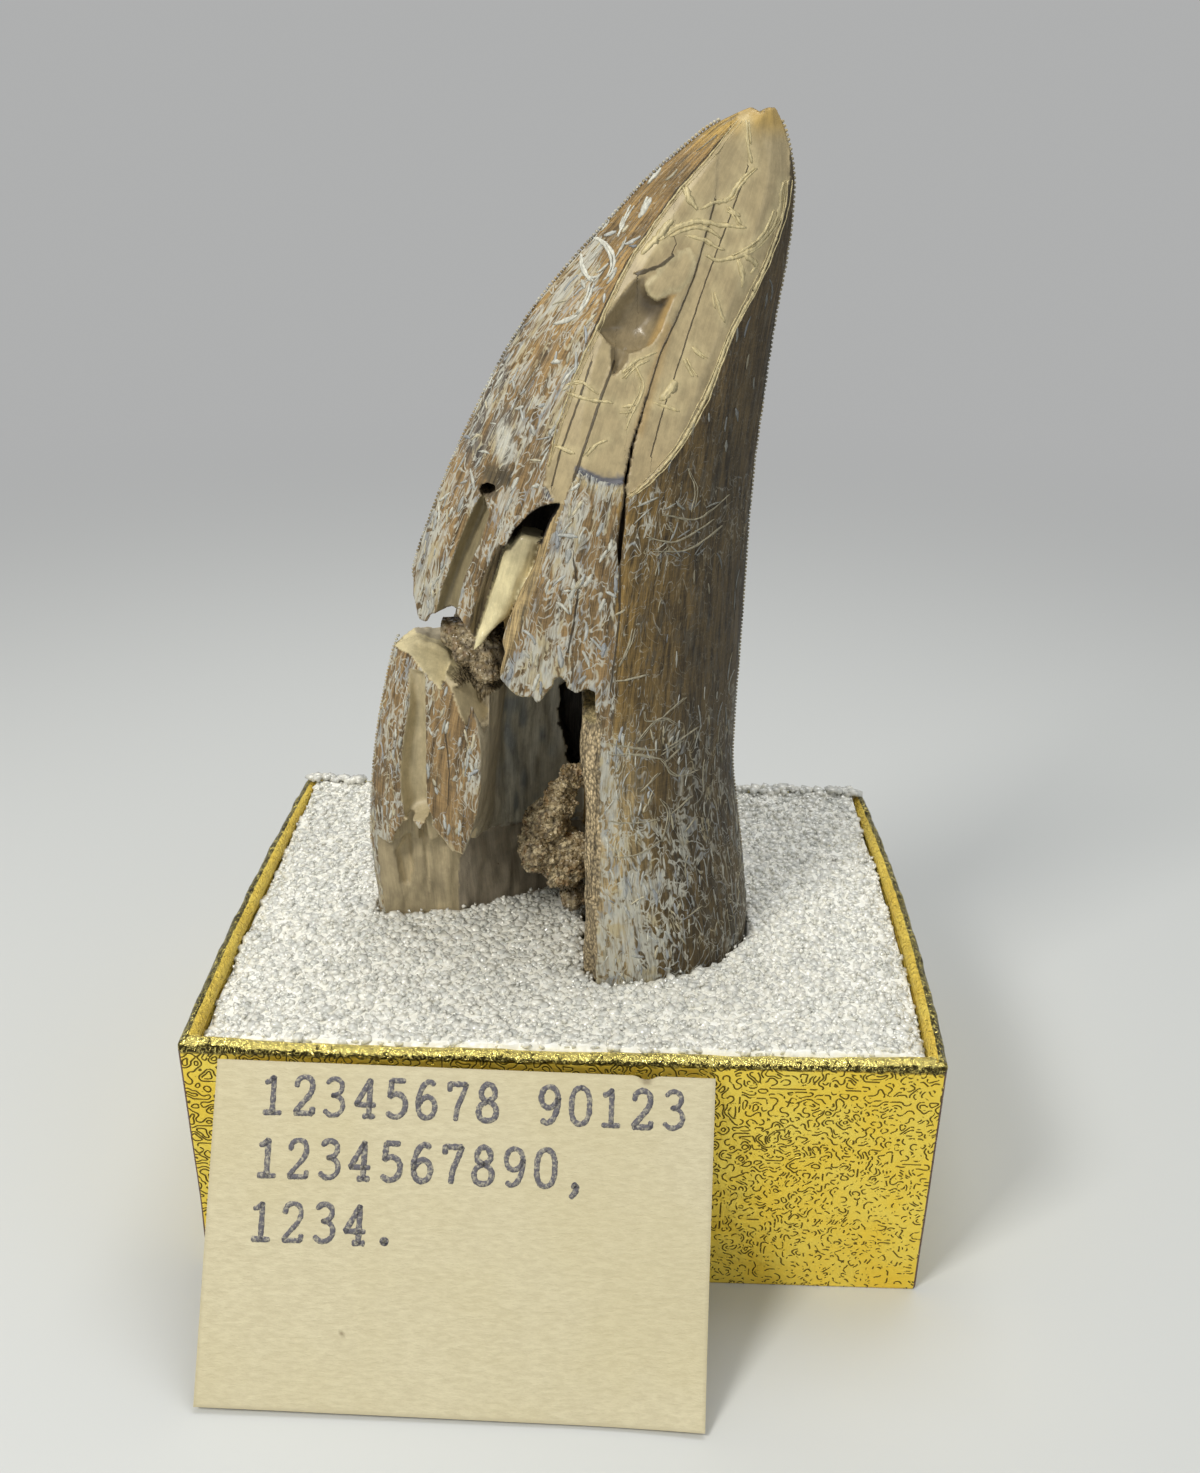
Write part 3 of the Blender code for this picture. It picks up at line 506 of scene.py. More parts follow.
def crownFaces(x, z):
    # the front and back surfaces as y, and the share of the way from the left edge to the right one
    left, right, front, back = crownEdges(z)
    share = np.clip((x - left) / (right - left), 0, 1)
    rise = np.clip((z - 20) / 40, 0, 1)
    frontY = crown["ridgeY"] - front * np.sin(math.pi * share ** (1.5 - 0.5 * rise)) ** (0.48 + 0.32 * rise)
    backY = crown["ridgeY"] + back * np.sin(math.pi * share ** 1.15) ** (0.5 + 0.3 * rise)
    swell, fibre, fine = crown["grainDepth"]
    edge = np.sin(math.pi * share)
    run = share * 30
    for side, seed in ((1, 11), (-1, 21)):
        grain = (swell * softNoise(seed, run / 3.5, z / 11) + fibre * softNoise(seed + 1, run / 0.8, z / 9)
                 + fine * softNoise(seed + 2, run / 0.36, z / 5)) * edge
        if side == 1:
            frontY = frontY - grain
        else:
            backY = backY + grain
    return frontY, backY, share


def crownField(x, y, z):
    # distance to the whole crown, before it broke
    reach = 0.12
    front, back = crownFaces(x, z)[:2]
    sides = [crownFaces(x + dx, z + dz) for dx, dz in ((reach, 0), (-reach, 0), (0, reach), (0, -reach))]
    left, right = crownEdges(z)[:2]
    slopes = []
    for k in (0, 1):
        across = (sides[0][k] - sides[1][k]) / (2 * reach)
        upward = (sides[2][k] - sides[3][k]) / (2 * reach)
        slopes.append(np.minimum(np.sqrt(1 + across ** 2 + upward ** 2), 7.0))
    notchX, notchWidth, notchDepth = crown["tipNotch"]
    top = crown["height"][-1] - notchDepth * np.exp(-((x - notchX) / notchWidth) ** 2)
    field = np.maximum((front - y) / slopes[0], (y - back) / slopes[1])
    field = np.maximum(field, np.maximum(left - x, x - right))
    return np.maximum(field, np.maximum(z - top, crown["root"] - z)).astype(np.float32)


def lineAt(z, line):
    # the x of a line that is drawn from the top down, at any height
    return np.interp(z, [point[1] for point in line[::-1]], [point[0] for point in line[::-1]])


def facetFloor(x, z):
    base, slopeX, slopeZ, scoop, middle = facet["plane"]
    floor = base + slopeX * x + slopeZ * z - scoop * (z - middle) ** 2
    for line, depth in facet["slabs"]:
        floor = floor + depth * step(x - lineAt(z, line), -0.06, 0.06)
    floor = floor + 0.05 * softNoise(31, x / 1.6, z / 4.0) + 0.015 * softNoise(32, x / 0.4, z / 2.5)
    return np.maximum(floor, crownFaces(x, z)[0] + facet["leastStep"])


def facetField(x, y, z):
    return np.maximum(outlineDistance(x, z, facet["outline"]), y - facetFloor(x, z))


def ragged(x, z, amount, seed):
    # a broken edge wanders a little
    wander = [amount * softNoise(seed + k, x / 0.7, z / 0.7)
              + amount * 0.5 * softNoise(seed + k + 1, x / 0.25, z / 0.25) for k in (0, 2)]
    return x + wander[0], z + wander[1]


def hollowField(x, y, z, name):
    outline, floor, rise, width, rough = hollows[name]
    wanderX, wanderZ = ragged(x, z, rough, 41) if rough else (x, z)
    edge = outlineDistance(wanderX, wanderZ, outline)
    floor = floor - rise * (1 - np.clip(-edge / width, 0, 1)) ** 2
    return np.maximum(edge, y - floor)


def crackField(x, y, z, route, depthTop, depthBottom, backward=False):
    gap, along = lineDistance(x, z, [(px, pz) for px, pz, width in route])
    marks = np.linspace(0, 1, len(route))
    half = np.interp(along, marks, [width / 2 for px, pz, width in route])
    depth = depthTop + (depthBottom - depthTop) * along
    beyond = depth - y if backward else y - depth
    return np.maximum(gap - half, beyond)


def loftField(x, y, z, rings):
    heights = [ring[0] for ring in rings]
    corners = []
    for k in range(len(rings[0][1])):
        corners.append(tuple(np.interp(z, heights, [ring[1][k][axis] for ring in rings]) for axis in (0, 1)))
    field = outlineDistance(x, y, corners)
    return np.maximum(field, np.maximum(heights[0] - z, z - heights[-1]))


def lowBreakField(x, y, z):
    return np.maximum(outlineDistance(x, y, breakLow), z - breakLowTop)


def slitField(x, y, z):
    wanderX, wanderZ = ragged(x, z, 0.15, 61)
    return np.maximum(outlineDistance(wanderX, wanderZ, slit), np.maximum(-y, y - slitDepth))


def spallField(x, y, z):
    edge = outlineDistance(*ragged(x, z, 0.12, 71), backSpall)
    return np.maximum(edge, 6.05 - 1.1 * np.clip(-edge / 1.2, 0, 1) - y)


def chipField(x, y, z, place, facing):
    facing = np.array(facing) / np.linalg.norm(facing)
    return sum((facing[k] * (place[k] - value) for k, value in enumerate((x, y, z))))


def shardField(x, y, z):
    # the waxy blade that lies in the dip beside the flake
    edge = outlineDistance(x, z, shard)
    crest = x - np.interp(z, [45, 49, 53], [-6.55, -4.6, -2.9])
    flaky = 0.16 * softNoise(83, x / 0.45, z / 1.1) + 0.2 * np.round(softNoise(84, x / 0.9, z / 1.4) * 2) / 2
    top = (-7.05 + 0.10 * (z - 49) + np.where(crest > 0, 0.5 * crest, -0.16 * crest)
           + flaky * (1 - step(z, 47.0, 50.0)) + 0.35 * (1 - np.clip(-edge / 0.3, 0, 1)) ** 2)
    return np.maximum(edge, np.maximum(top - y, y + 4.2))


def flapField(x, y, z):
    # the broken roof that overhangs the pit
    edge = outlineDistance(x, z, flap)
    top = facetFloor(x, z) - 0.02 - 0.10 * step(72.0 - z, 0.0, 2.0)
    return np.maximum(edge, np.maximum(top - y, y - top - 0.55))


def axesOfBlock():
    return [np.arange(low, high, block["cell"], dtype=np.float32)
            for low, high in zip(block["low"], block["high"])]


def grainThroughout(seed, steps, axes):
    # smooth random field over the whole block, one random value every step
    rng = np.random.default_rng(seed)
    weights = []
    for axis, gap in zip(axes, steps):
        spots = (axis - axis[0]) / gap
        count = int(spots[-1]) + 4
        away = np.abs(spots[:, None] + 1 - np.arange(count)[None, :])
        near = 2 / 3 - away ** 2 + away ** 3 / 2
        far = np.clip(2 - away, 0, None) ** 3 / 6
        weights.append(np.where(away < 1, near, far).astype(np.float32))
    lattice = rng.standard_normal([w.shape[1] for w in weights]).astype(np.float32)
    field = np.tensordot(weights[0], lattice, (1, 0))
    field = np.matmul(weights[1], field)
    field = field @ weights[2].T
    return field / field.std()


def spanOf(axis, low, high):
    return slice(max(int(np.searchsorted(axis, low)) - 1, 0), int(np.searchsorted(axis, high)) + 1)


def carveTooth():
    axes = axesOfBlock()
    solid = crownField(axes[0][:, None, None], axes[1][None, :, None], axes[2][None, None, :])
    coarse = grainThroughout(5, (1.3, 1.3, 3.0), axes)
    fine = grainThroughout(6, (0.45, 0.45, 1.3), axes)

    def change(field, low, high, rough=0.0, fineRough=0.0, add=False):
        spans = [spanOf(axis, low[k], high[k]) for k, axis in enumerate(axes)]
        x, y, z = axes[0][spans[0], None, None], axes[1][None, spans[1], None], axes[2][None, None, spans[2]]
        values = field(x, y, z)
        if rough or fineRough:
            values = values + rough * coarse[tuple(spans)] + fineRough * fine[tuple(spans)]
        part = solid[tuple(spans)]
        part[...] = np.minimum(part, values) if add else np.maximum(part, -values)

    def changeAround(field, route, near, far, *roughness):
        xs, zs = [point[0] for point in route], [point[1] for point in route]
        change(field, (min(xs) - 1, near, min(zs) - 1), (max(xs) + 1, far, max(zs) + 1), *roughness)

    change(facetField, (-3, -20, 55), (20, 20, 90))
    change(lowBreakField, (-20, -20, 10), (4, 6, 29), 0.10, 0.07)
    change(lambda x, y, z: loftField(x, y, z, breakMain), (-11, -20, 26), (4, 6, 43.5), 0.08, 0.06)
    change(lambda x, y, z: loftField(x, y, z, cavity), (-7, -10, 40.5), (3, 4, 58.5), 0.12, 0.08)
    change(slitField, (-4, -1, 28), (2, 14, 40), 0.08, 0.05)
    change(spallField, (0, 3, 45), (10, 12, 63), 0.03, 0.03)
    for name in hollows:
        changeAround(lambda x, y, z: hollowField(x, y, z, name), hollows[name][0], -20, 20,
                     *cutRoughness.get(name, (0.0, 0.0)))
    for place, facing, reach in topChips:
        low, high = ([value + side * reach for value in place] for side in (-1, 1))
        change(lambda x, y, z: chipField(x, y, z, place, facing), low, high, 0.02, 0.01)
    for crackSet, near, far in ((cracks, -20, 2), (backCracks, 0, 20)):
        for route, depthTop, depthBottom in crackSet.values():
            changeAround(lambda x, y, z: crackField(x, y, z, route, depthTop, depthBottom, near == 0),
                         route, near, far)
    change(shardField, (-8, -9, 44), (-1.5, -3.5, 54.5), 0.0, 0.03, add=True)
    change(flapField, (2.5, -9, 68), (9, -2, 73), 0.0, 0.02, add=True)
    return axes, solid


def zeroSurface(field, axes, cell):
    # a mesh through the cells where the distance is nought
    grid = openvdb.FloatGrid(1.0)
    grid.copyFromArray(np.ascontiguousarray(field.astype(np.float32)), tolerance=0)
    points, quads = grid.convertToQuads(isovalue=0.0)
    return points * cell + np.array([axis[0] for axis in axes]), quads


def withoutCrumbs(points, quads):
    # keeps the one largest connected shell
    owner = np.arange(len(points))
    ends = np.concatenate([quads[:, [k, (k + 1) % 4]] for k in range(4)]).astype(np.int64)
    while True:
        least = np.minimum(owner[ends[:, 0]], owner[ends[:, 1]])
        fresh = owner.copy()
        np.minimum.at(fresh, ends[:, 0], least)
        np.minimum.at(fresh, ends[:, 1], least)
        fresh = fresh[fresh]
        fresh = fresh[fresh]
        if (fresh == owner).all():
            break
        owner = fresh
    main = np.bincount(owner).argmax()
    keep = owner == main
    index = np.cumsum(keep) - 1
    quads = index[quads[keep[quads[:, 0]]]]
    return points[keep], quads


def thinned(points, quads, mostTriangles):
    # fewer faces where the surface is plain
    mesh = bpy.data.meshes.new("thinning")
    mesh.from_pydata(points.tolist(), [], quads[:, ::-1].tolist())
    holder = bpy.data.objects.new("thinning", mesh)
    bpy.context.scene.collection.objects.link(holder)
    share = mostTriangles / (2 * len(quads))
    if share < 1:
        change = holder.modifiers.new("thin", "DECIMATE")
        change.ratio = share
        change.use_collapse_triangulate = True
    shape = holder.evaluated_get(bpy.context.evaluated_depsgraph_get()).to_mesh()
    shape.calc_loop_triangles()
    found = np.empty(len(shape.vertices) * 3, np.float32)
    shape.vertices.foreach_get("co", found)
    faces = np.empty(len(shape.loop_triangles) * 3, np.int32)
    shape.loop_triangles.foreach_get("vertices", faces)
    bpy.data.objects.remove(holder)
    bpy.data.meshes.remove(mesh)
    return found.reshape(-1, 3).astype(np.float64), faces.reshape(-1, 3)


toothTones = {
    "upperEnamel": (0.28, 0.175, 0.06), "columnEnamel": (0.215, 0.135, 0.038),
    "darkEnamelAndShade": (0.036, 0.027, 0.013), "bevel": (0.36, 0.265, 0.125), "blueStep": (0.075, 0.085, 0.115),
    "facet": (0.4, 0.322, 0.178), "tip": (0.42, 0.275, 0.062), "cream": (0.54, 0.465, 0.27),
    "shard": (0.68, 0.6, 0.35), "underSlab": (0.43, 0.355, 0.215), "rust": (0.33, 0.18, 0.065),
    # the inner and back walls of the break are lighter than their own colour: painted light for these shaded
    # faces
    "innerWallLit": (0.36, 0.31, 0.21), "backWallLit": (0.42, 0.4, 0.32), "blueGrey": (0.17, 0.2, 0.22),
    "fracture": (0.4, 0.315, 0.185), "dark": (0.035, 0.028, 0.02), "channel": (0.27, 0.225, 0.13),
    "blockChannel": (0.46, 0.39, 0.24), "pitFloor": (0.26, 0.205, 0.115), "orange": (0.4, 0.275, 0.115),
    "dip": (0.2, 0.16, 0.105), "lowBreak": (0.33, 0.29, 0.2),
}

# pale veins on the facet, as (x, z) points and a width
veins = [
    ([(10.52, 79.65), (10.7, 78.23), (11.06, 77.2)], 0.28),
    ([(11.16, 76.89), (10.15, 75.91), (9.66, 75.1), (8.8, 74.85), (7.76, 74.51)], 0.3),
    ([(6.85, 75.78), (7.19, 74.98), (7.72, 74.35)], 0.42),
    ([(5.2, 72.61), (6.4, 73.36), (7.62, 73.7), (8.85, 73.56), (10.79, 73.35)], 0.34),
    ([(5.89, 72.86), (7.45, 73.37), (8.51, 73.23), (9.23, 72.67)], 0.26),
    ([(7.12, 72.88), (8.18, 72.66), (8.9, 72.26), (9.61, 72.03)], 0.24),
    ([(13.11, 76), (12.88, 73.87), (11.75, 72.42), (10.68, 71.8), (9.11, 71.42), (8.21, 71.76)], 0.34),
    ([(12.56, 74.38), (12.08, 73.07), (11.02, 72.2), (9.98, 71.71)], 0.22),
    ([(10.34, 71.47), (10.76, 70.46), (10.8, 69.77)], 0.3),
    ([(10.68, 71.8), (11.65, 71.08), (11.31, 70.59)], 0.4),
    ([(9, 69.48), (9.31, 68.5), (9.72, 67.62)], 0.24),
    ([(7.53, 66.14), (8.45, 65.47)], 0.26),
    ([(7.11, 65.46), (7.77, 64.3)], 0.26),
    ([(3.16, 62.43), (3.88, 62.62)], 0.2),
    ([(3.17, 62.09), (3.8, 62.19)], 0.18),
    ([(0.88, 59.39), (1.41, 60.09), (2.31, 60.42)], 0.22),
    ([(-0.56, 63.7), (0.43, 63.99), (1.61, 63.25)], 0.24),
    ([(-0.45, 63.21), (0.81, 62.98), (2.52, 62.72)], 0.26),
    ([(5.31, 62.73), (6.95, 62.16)], 0.2),
    ([(5.67, 62.9), (6.2, 63.5), (6.71, 64.02)], 0.62),
    ([(3.11, 64.55), (3.81, 65.15), (5.31, 65.84)], 0.2),
    ([(3.3, 64.21), (3.99, 64.9), (4.88, 65.34)], 0.18),
    ([(-1.12, 59.87), (0.15, 59.55)], 0.3),
    ([(3.99, 65.07), (4.56, 63.73), (3.72, 61.85), (3.38, 60.99)], 0.2),
    ([(6.04, 73.84), (5.36, 73.01), (4.17, 71.69)], 0.5),
    ([(9.69, 74.38), (10.5, 73.99)], 0.34),
    ([(9.68, 74.62), (10.6, 73.51)], 0.24),
]
rightRidge = [(13.48, 76.15), (13.31, 74.51), (12.56, 71.7), (11.4, 69.21), (10.05, 66.73), (8.9, 63.68),
              (7.54, 60.98), (6.5, 59.47), (5.09, 57.92), (3.66, 56.85)]
leftRidge = [(10, 79.64), (8.35, 77.56), (6.67, 75.78), (4.99, 73.49), (3.47, 71.35), (1.95, 68.37),
             (1.27, 66.86), (0.2, 64.6), (-1, 61.2), (-1.7, 58.6)]

flakeLeft = [(-0.9, 56.3), (-1.4, 55.2), (-1.85, 54), (-2.35, 52.4), (-3, 50.3), (-3.75, 48.1),
             (-4.6, 45.9), (-5, 44.4)]
flakeTop = [(0.35, 58.55), (1.1, 58.25), (1.9, 57.92), (2.7, 57.8), (3.3, 57.95)]

# root marks on the column that stand out one by one
columnMarks = [
    ([(4.66, 39.51), (5.6, 40.64), (6.4, 41.08), (7.59, 40.23)], 0.3),
    ([(6.4, 41.08), (8.01, 42.18)], 0.22),
    ([(5.16, 41.84), (5.34, 41.12), (7.07, 40.82)], 0.22),
    ([(6.65, 38.57), (8.13, 39.17), (9.14, 39.58)], 0.26),
    ([(6.49, 38.26), (7.97, 38.88)], 0.26),
    ([(6.85, 37.64), (7.82, 38.4)], 0.24),
    ([(2.72, 39.71), (4.18, 39.24), (6.31, 38.66)], 0.34),
    ([(2.73, 38.85), (4.68, 38.63), (6.5, 37.91)], 0.4),
    ([(6.5, 37.91), (7.56, 36.36), (9.3, 36.04)], 0.28),
    ([(5.08, 35.75), (6.37, 36.89)], 0.3),
    ([(2.83, 33.71), (4.65, 33.34), (6.49, 33.31)], 0.34),
    ([(7.33, 33.42), (8.84, 34.27)], 0.26),
    ([(8.42, 31.65), (9.26, 32.53)], 0.24),
    ([(6.71, 31.48), (7.16, 33.47), (6.43, 34.92)], 0.26),
    ([(3.22, 30.78), (5.22, 30.91), (6.71, 31.66)], 0.26),
    ([(9.02, 24.98), (9.89, 25.34)], 0.24),
    ([(3.1, 44.26), (4.53, 44.37), (5.32, 44.51)], 0.34),
    ([(3.3, 45.3), (3.9, 46.6), (4.2, 48)], 0.34),
    ([(5, 54.2), (7, 53.6), (9.6, 54.6)], 0.26),
    ([(5.4, 53.2), (8, 52.9), (10.2, 54)], 0.24),
    ([(6, 55.6), (8.4, 54.9), (10.6, 56)], 0.22),
    ([(7.6, 58.4), (8.2, 57), (8, 55.4)], 0.22),
]


def paintTooth(points):
    # what each place of the surface is: its tone, how marked, crumbly and glossy it is
    x, y, z = points.T
    whole = crownField(x, y, z)
    share = crownFaces(x, z)[2]
    fields = {
        "enamel": whole, "facet": -facetField(x, y, z), "lowBreak": -lowBreakField(x, y, z),
        "mainBreak": -loftField(x, y, z, breakMain), "cavity": -loftField(x, y, z, cavity),
        "slit": -slitField(x, y, z), "spall": -spallField(x, y, z),
    }
    for name in hollows:
        fields[name] = -hollowField(x, y, z, name)
    for name, (route, top, bottom) in [*cracks.items(), *backCracks.items()]:
        fields[name] = -crackField(x, y, z, route, top, bottom, name in backCracks)
    for k, (place, facing, reach) in enumerate(topChips):
        inside = np.abs(points - np.array(place)).max(axis=1) < reach
        fields["chip%d" % k] = np.where(inside, -chipField(x, y, z, place, facing), -9.0)
    names = list(fields)
    owner = np.argmax(np.stack([fields[name] for name in names]), axis=0)
    onShard = np.abs(shardField(x, y, z)) < 0.12
    onFlap = (np.abs(flapField(x, y, z)) < 0.12) & ~onShard

    def on(*wanted):
        return np.isin(owner, [names.index(name) for name in wanted]) & ~onShard & ~onFlap

    tone = np.tile(np.array(toothTones["upperEnamel"]), (len(points), 1))

    def paint(mask, colour, amount=1.0):
        mask = (np.asarray(mask, float) * amount)[:, None]
        colour = np.array(toothTones[colour] if isinstance(colour, str) else colour)
        tone[:] = tone * (1 - mask) + colour * mask

    patch = softNoise(81, x / 2.2, y / 2.2, z / 4.5)
    patchFine = softNoise(82, x / 0.7, y / 0.7, z / 1.8)
    outer = on("enamel").astype(float)
    front = y < crown["ridgeY"]

    # enamel: warm on the left, darker towards the right and down the column; the darkening on the right is
    # partly the enamel's own tone and partly painted shade, where that side turns from the light
    paint(step(x, -4, 4) * (1 - step(z, 58, 70)), "columnEnamel")
    paint(step(share, 0.50, 0.93) * np.where(front, 1.0, 0.6), "darkEnamelAndShade", 0.88)
    paint(np.where(front, 0.0, 1.0) * (1 - step(share, 0.6, 0.9)), "columnEnamel", 0.55)
    paint(outer * front * (x < 3) * (1 - step(z, 60, 72)), (0.19, 0.125, 0.056), 0.85)
    paint(outer * front * step(x, 1.0, 1.6) * (1 - step(x, 3.6, 6.5)) * (1 - step(z, 34, 43)),
          (0.40, 0.31, 0.16), 0.55)
    paint(outer * step(patch, 0.1, 0.8), "darkEnamelAndShade", 0.45)
    toBand = lineDistance(x, z, [(-6.6, 58.5), (-5.0, 62.5), (-3.2, 66.0)])[0]
    band = outer * front * (1 - step(toBand, 0.6, 2.2)) * step(patchFine + 0.6 * patch, -0.4, 0.4)
    paint(band, (0.085, 0.080, 0.074), 0.85)
    paint(outer * step(z, 77.4, 79.6), "tip", 0.8)

    paint(on("facet"), "facet")
    paint(on("facet") * step(z, 78.2, 79.8), "tip", 0.75)
    paint(on("facet") * step(patch, 0.0, 0.9), (0.36, 0.28, 0.15), 0.5)
    for line, width in veins:
        toVein = lineDistance(x, z, line)[0]
        paint(on("facet") * (1 - step(toVein, 0.1, 0.35 + width)), (0.55, 0.465, 0.26), 0.5)
    paint(on("lowBreak"), "lowBreak")
    paint(on("lowBreak") * (x < 0.6), (0.225, 0.19, 0.135))
    paint(on("lowBreak") * (x < np.interp(z, [22.9, 27.8], [-9.4, -8.8])), "underSlab")
    paint(on("lowBreak", "mainBreak") * (x > 0.6) * (y < 0.5), "fracture")
    mainLeft = on("mainBreak") * (x < 0.6)
    # painted light: the break's inner faces take the lightened wall tones
    paint(mainLeft, "innerWallLit")
    paint(mainLeft * step(y, -1.5, 1.2), "backWallLit")
    paint(mainLeft * step(y, -1.0, 1.2) * step(patchFine, 0.2, 0.8), "blueGrey", 0.7)
    paint(on("lowBreak", "mainBreak", "underSlab") * (x < 0.6) * step(patch, 0.0, 0.9),
          (0.16, 0.13, 0.08), 0.5)
    # painted shade: the inside of the cavity is painted near black, lighter low down
    paint(on("cavity"), "dark")
    paint(on("cavity") * step(z, 46, 42), "backWallLit", 0.6)
    # painted shade: the slit is painted near black
    paint(on("slit"), (0.05, 0.045, 0.035))
    paint(on("notch") * (z < 45.2), "cream")
    topRight = on("notch") * (z < 45.2) * step(x + 0.5 * patchFine, -9.0, -8.3)
    paint(topRight, (0.20, 0.15, 0.082), 0.9)
    paint(on("notch") * (z >= 45.2), "dip")
    paint(on("notch") * (y > -0.5), "innerWallLit")
    paint(on("chip0", "chip1"), "cream")
    paint(on("chip2", "chip3"), (0.47, 0.39, 0.23))
    paint(on("flakeHem", "hemChip"), "cream", 0.75)
    paint(on("underSlab", "grooveLeft", "grooveMiddle", "grooveRight"), "underSlab")
    paint(on("underSlab") * step(patchFine, 0.1, 0.7) * (z < 25), "rust", 0.55)
    # painted shade: the hole is painted near black
    paint(on("hole"), "dark")
    paint(on("shardDip"), "dip")
    paint(on("shardDip") * (1 - step(lineDistance(x, z, flakeLeft)[0], 0.7, 1.0)), "bevel", 0.85)
    paint(on("channel"), "channel")
    paint(on("smallHole"), "dip")
    paint(on("blockChannel"), "blockChannel")
    paint(on("pit", "pitTail"), "pitFloor")
    rightWall = on("pit") * step(x - np.interp(z, [64, 66, 68, 70], [4.6, 5.0, 5.9, 6.6]), -0.55, -0.2)
    # painted shade: the pit is painted darkest under the overhanging flap
    paint(on("pit") * (1 - step(np.hypot(x - 5.3, z - 68.9), 0.7, 1.7)), (0.09, 0.07, 0.045), 0.85)
    paint(rightWall, "orange")
    toStain = lineDistance(x, z, [(4.3, 61.0), (4.75, 62.6), (5.6, 65.7), (6.0, 67.3)])[0]
    paint(on("facet") * (1 - step(toStain, 0.15, 0.5)), "orange", 0.6)
    # painted shade: the insides of the carved cracks are painted dark
    paint(on("backCrackLong", "backCrackLeft"), "dark")
    paint(on("crackLong", "crackFlake"), (0.10, 0.07, 0.035))
    nubShade = outer * front * (1 - step(np.hypot((x + 5.2) / 1.25, (z - 57.35) / 0.75), 0.75, 1.05))
    paint(nubShade, (0.075, 0.058, 0.03), 0.9)
    paint(outer * front * (1 - step(np.hypot((x + 4.75) / 0.8, (z - 59.4) / 1.5), 0.7, 1.0)),
          (0.52, 0.50, 0.41), 0.85)
    paint(on("spall"), "facet", 0.8)
    # the flake: a bare bevel down its left side, and a dark blue step at its top
    toBevel = lineDistance(x, z, flakeLeft)[0]
    bevel = outer * front * (1 - step(toBevel, 0.3, 0.5)) * (z < 56.4)
    paint(bevel, "bevel")
    toStep = lineDistance(x, z, flakeTop)[0]
    below = outer * front * (z < 58.9) * (1 - step(toStep, 0.55, 1.1))
    paint(below, "cream", 0.55)
    paint(on("enamel", "facet") * front * (1 - step(toStep, 0.16, 0.34)), "blueStep", 0.9)
    paint(outer * front * (1 - step(np.hypot(x + 1.5, z - 56.9), 0.35, 0.7)), "blueStep", 0.8)
    paint(onShard, "shard")
    paint(onShard * step(z, 51.0, 52.6), (0.38, 0.33, 0.2), 0.7)
    paint(onFlap, "facet")
    # painted highlight: a pale band along the flap's edge stands in for its lit edge
    paint(onFlap * (1 - step(-outlineDistance(x, z, flap), 0.0, 0.3)), "cream", 0.7)
    # painted shade: the flap's underside is painted near black
    paint(onFlap * (y > facetFloor(x, z) + 0.45), (0.05, 0.04, 0.025), 0.9)

    # how densely roots have etched the enamel
    flakeHere = (x > -5.3) & (x < 3.1) & (z < 58.5) & (z > 42) & front
    etch = np.where(x > 1.2, 0.10 + 0.85 * step(z, 42.0, 38.5) + 0.32 * step(z, 50, 54) * (z < 57), 0.62)
    etch = np.where(front & (x < 1.5) & (z > 44) & ~flakeHere, 0.95 - 0.7 * step(z, 69, 75), etch)
    etch = np.where(flakeHere, 1.05, etch)
    etch = np.where(front & (x < -5) & (z < 44), 0.75, etch)
    etch = np.where(front, etch, 0.34)
    etch = etch * (1 - 0.55 * step(share, 0.62, 0.9) * front)
    etch = np.clip(etch + (0.85 * patch + 0.3 * patchFine) * step(etch, 0.3, 0.6), 0, 1.3)
    etch = etch * outer * (1 - bevel) * (1 - nubShade) * (1 - 0.5 * band)

    crumb = (on("lowBreak", "mainBreak") & (x > 0.6) & (y < 0.5)).astype(float)
    crumb = np.maximum.reduce([crumb, 0.3 * on("flakeHem", "hemChip"), 0.8 * topRight])
    gloss = 0.9 * on("pit") + 1.1 * onShard + 0.35 * on("facet", "channel", "blockChannel") + 0.5 * mainLeft
    smoothest = on("facet", "channel", "blockChannel", "pit", "pitTail", "notch",
                   *["chip%d" % k for k in range(len(topChips))])
    lessSmooth = on("lowBreak", "underSlab", "grooveLeft", "grooveMiddle", "grooveRight")
    smoothCut = np.maximum.reduce([(smoothest | onShard | onFlap).astype(float), 0.85 * lessSmooth,
                                   0.7 * mainLeft])
    return {"tone": tone, "etch": etch, "crumb": crumb, "gloss": np.clip(gloss, 0, 1), "outer": outer,
            "plain": smoothCut, "fibre": share * 30}


def signedOff(x, z, route):
    # distance to a crack's line, with a sign, so that it stays sharp between mesh points
    ahead = 0.5
    lean = (lineAt(z + ahead, route) - lineAt(z, route)) / ahead
    off = (x - lineAt(z, route)) / np.sqrt(1 + lean ** 2)
    beyond = np.maximum(np.maximum(z - route[0][1], route[-1][1] - z), 0)
    return off + np.sign(off) * beyond * 2


def storeReading(mesh, name, values):
    if values.ndim == 2:
        layer = mesh.attributes.new(name, "FLOAT_VECTOR", "POINT")
        layer.data.foreach_set("vector", values.astype(np.float32).ravel())
    else:
        layer = mesh.attributes.new(name, "FLOAT", "POINT")
        layer.data.foreach_set("value", values.astype(np.float32))


rootMarks = {
    "white": (0.54, 0.535, 0.455), "blue": (0.32, 0.345, 0.35), "cream": (0.50, 0.44, 0.28),
    "shade": (0.075, 0.065, 0.045),
}


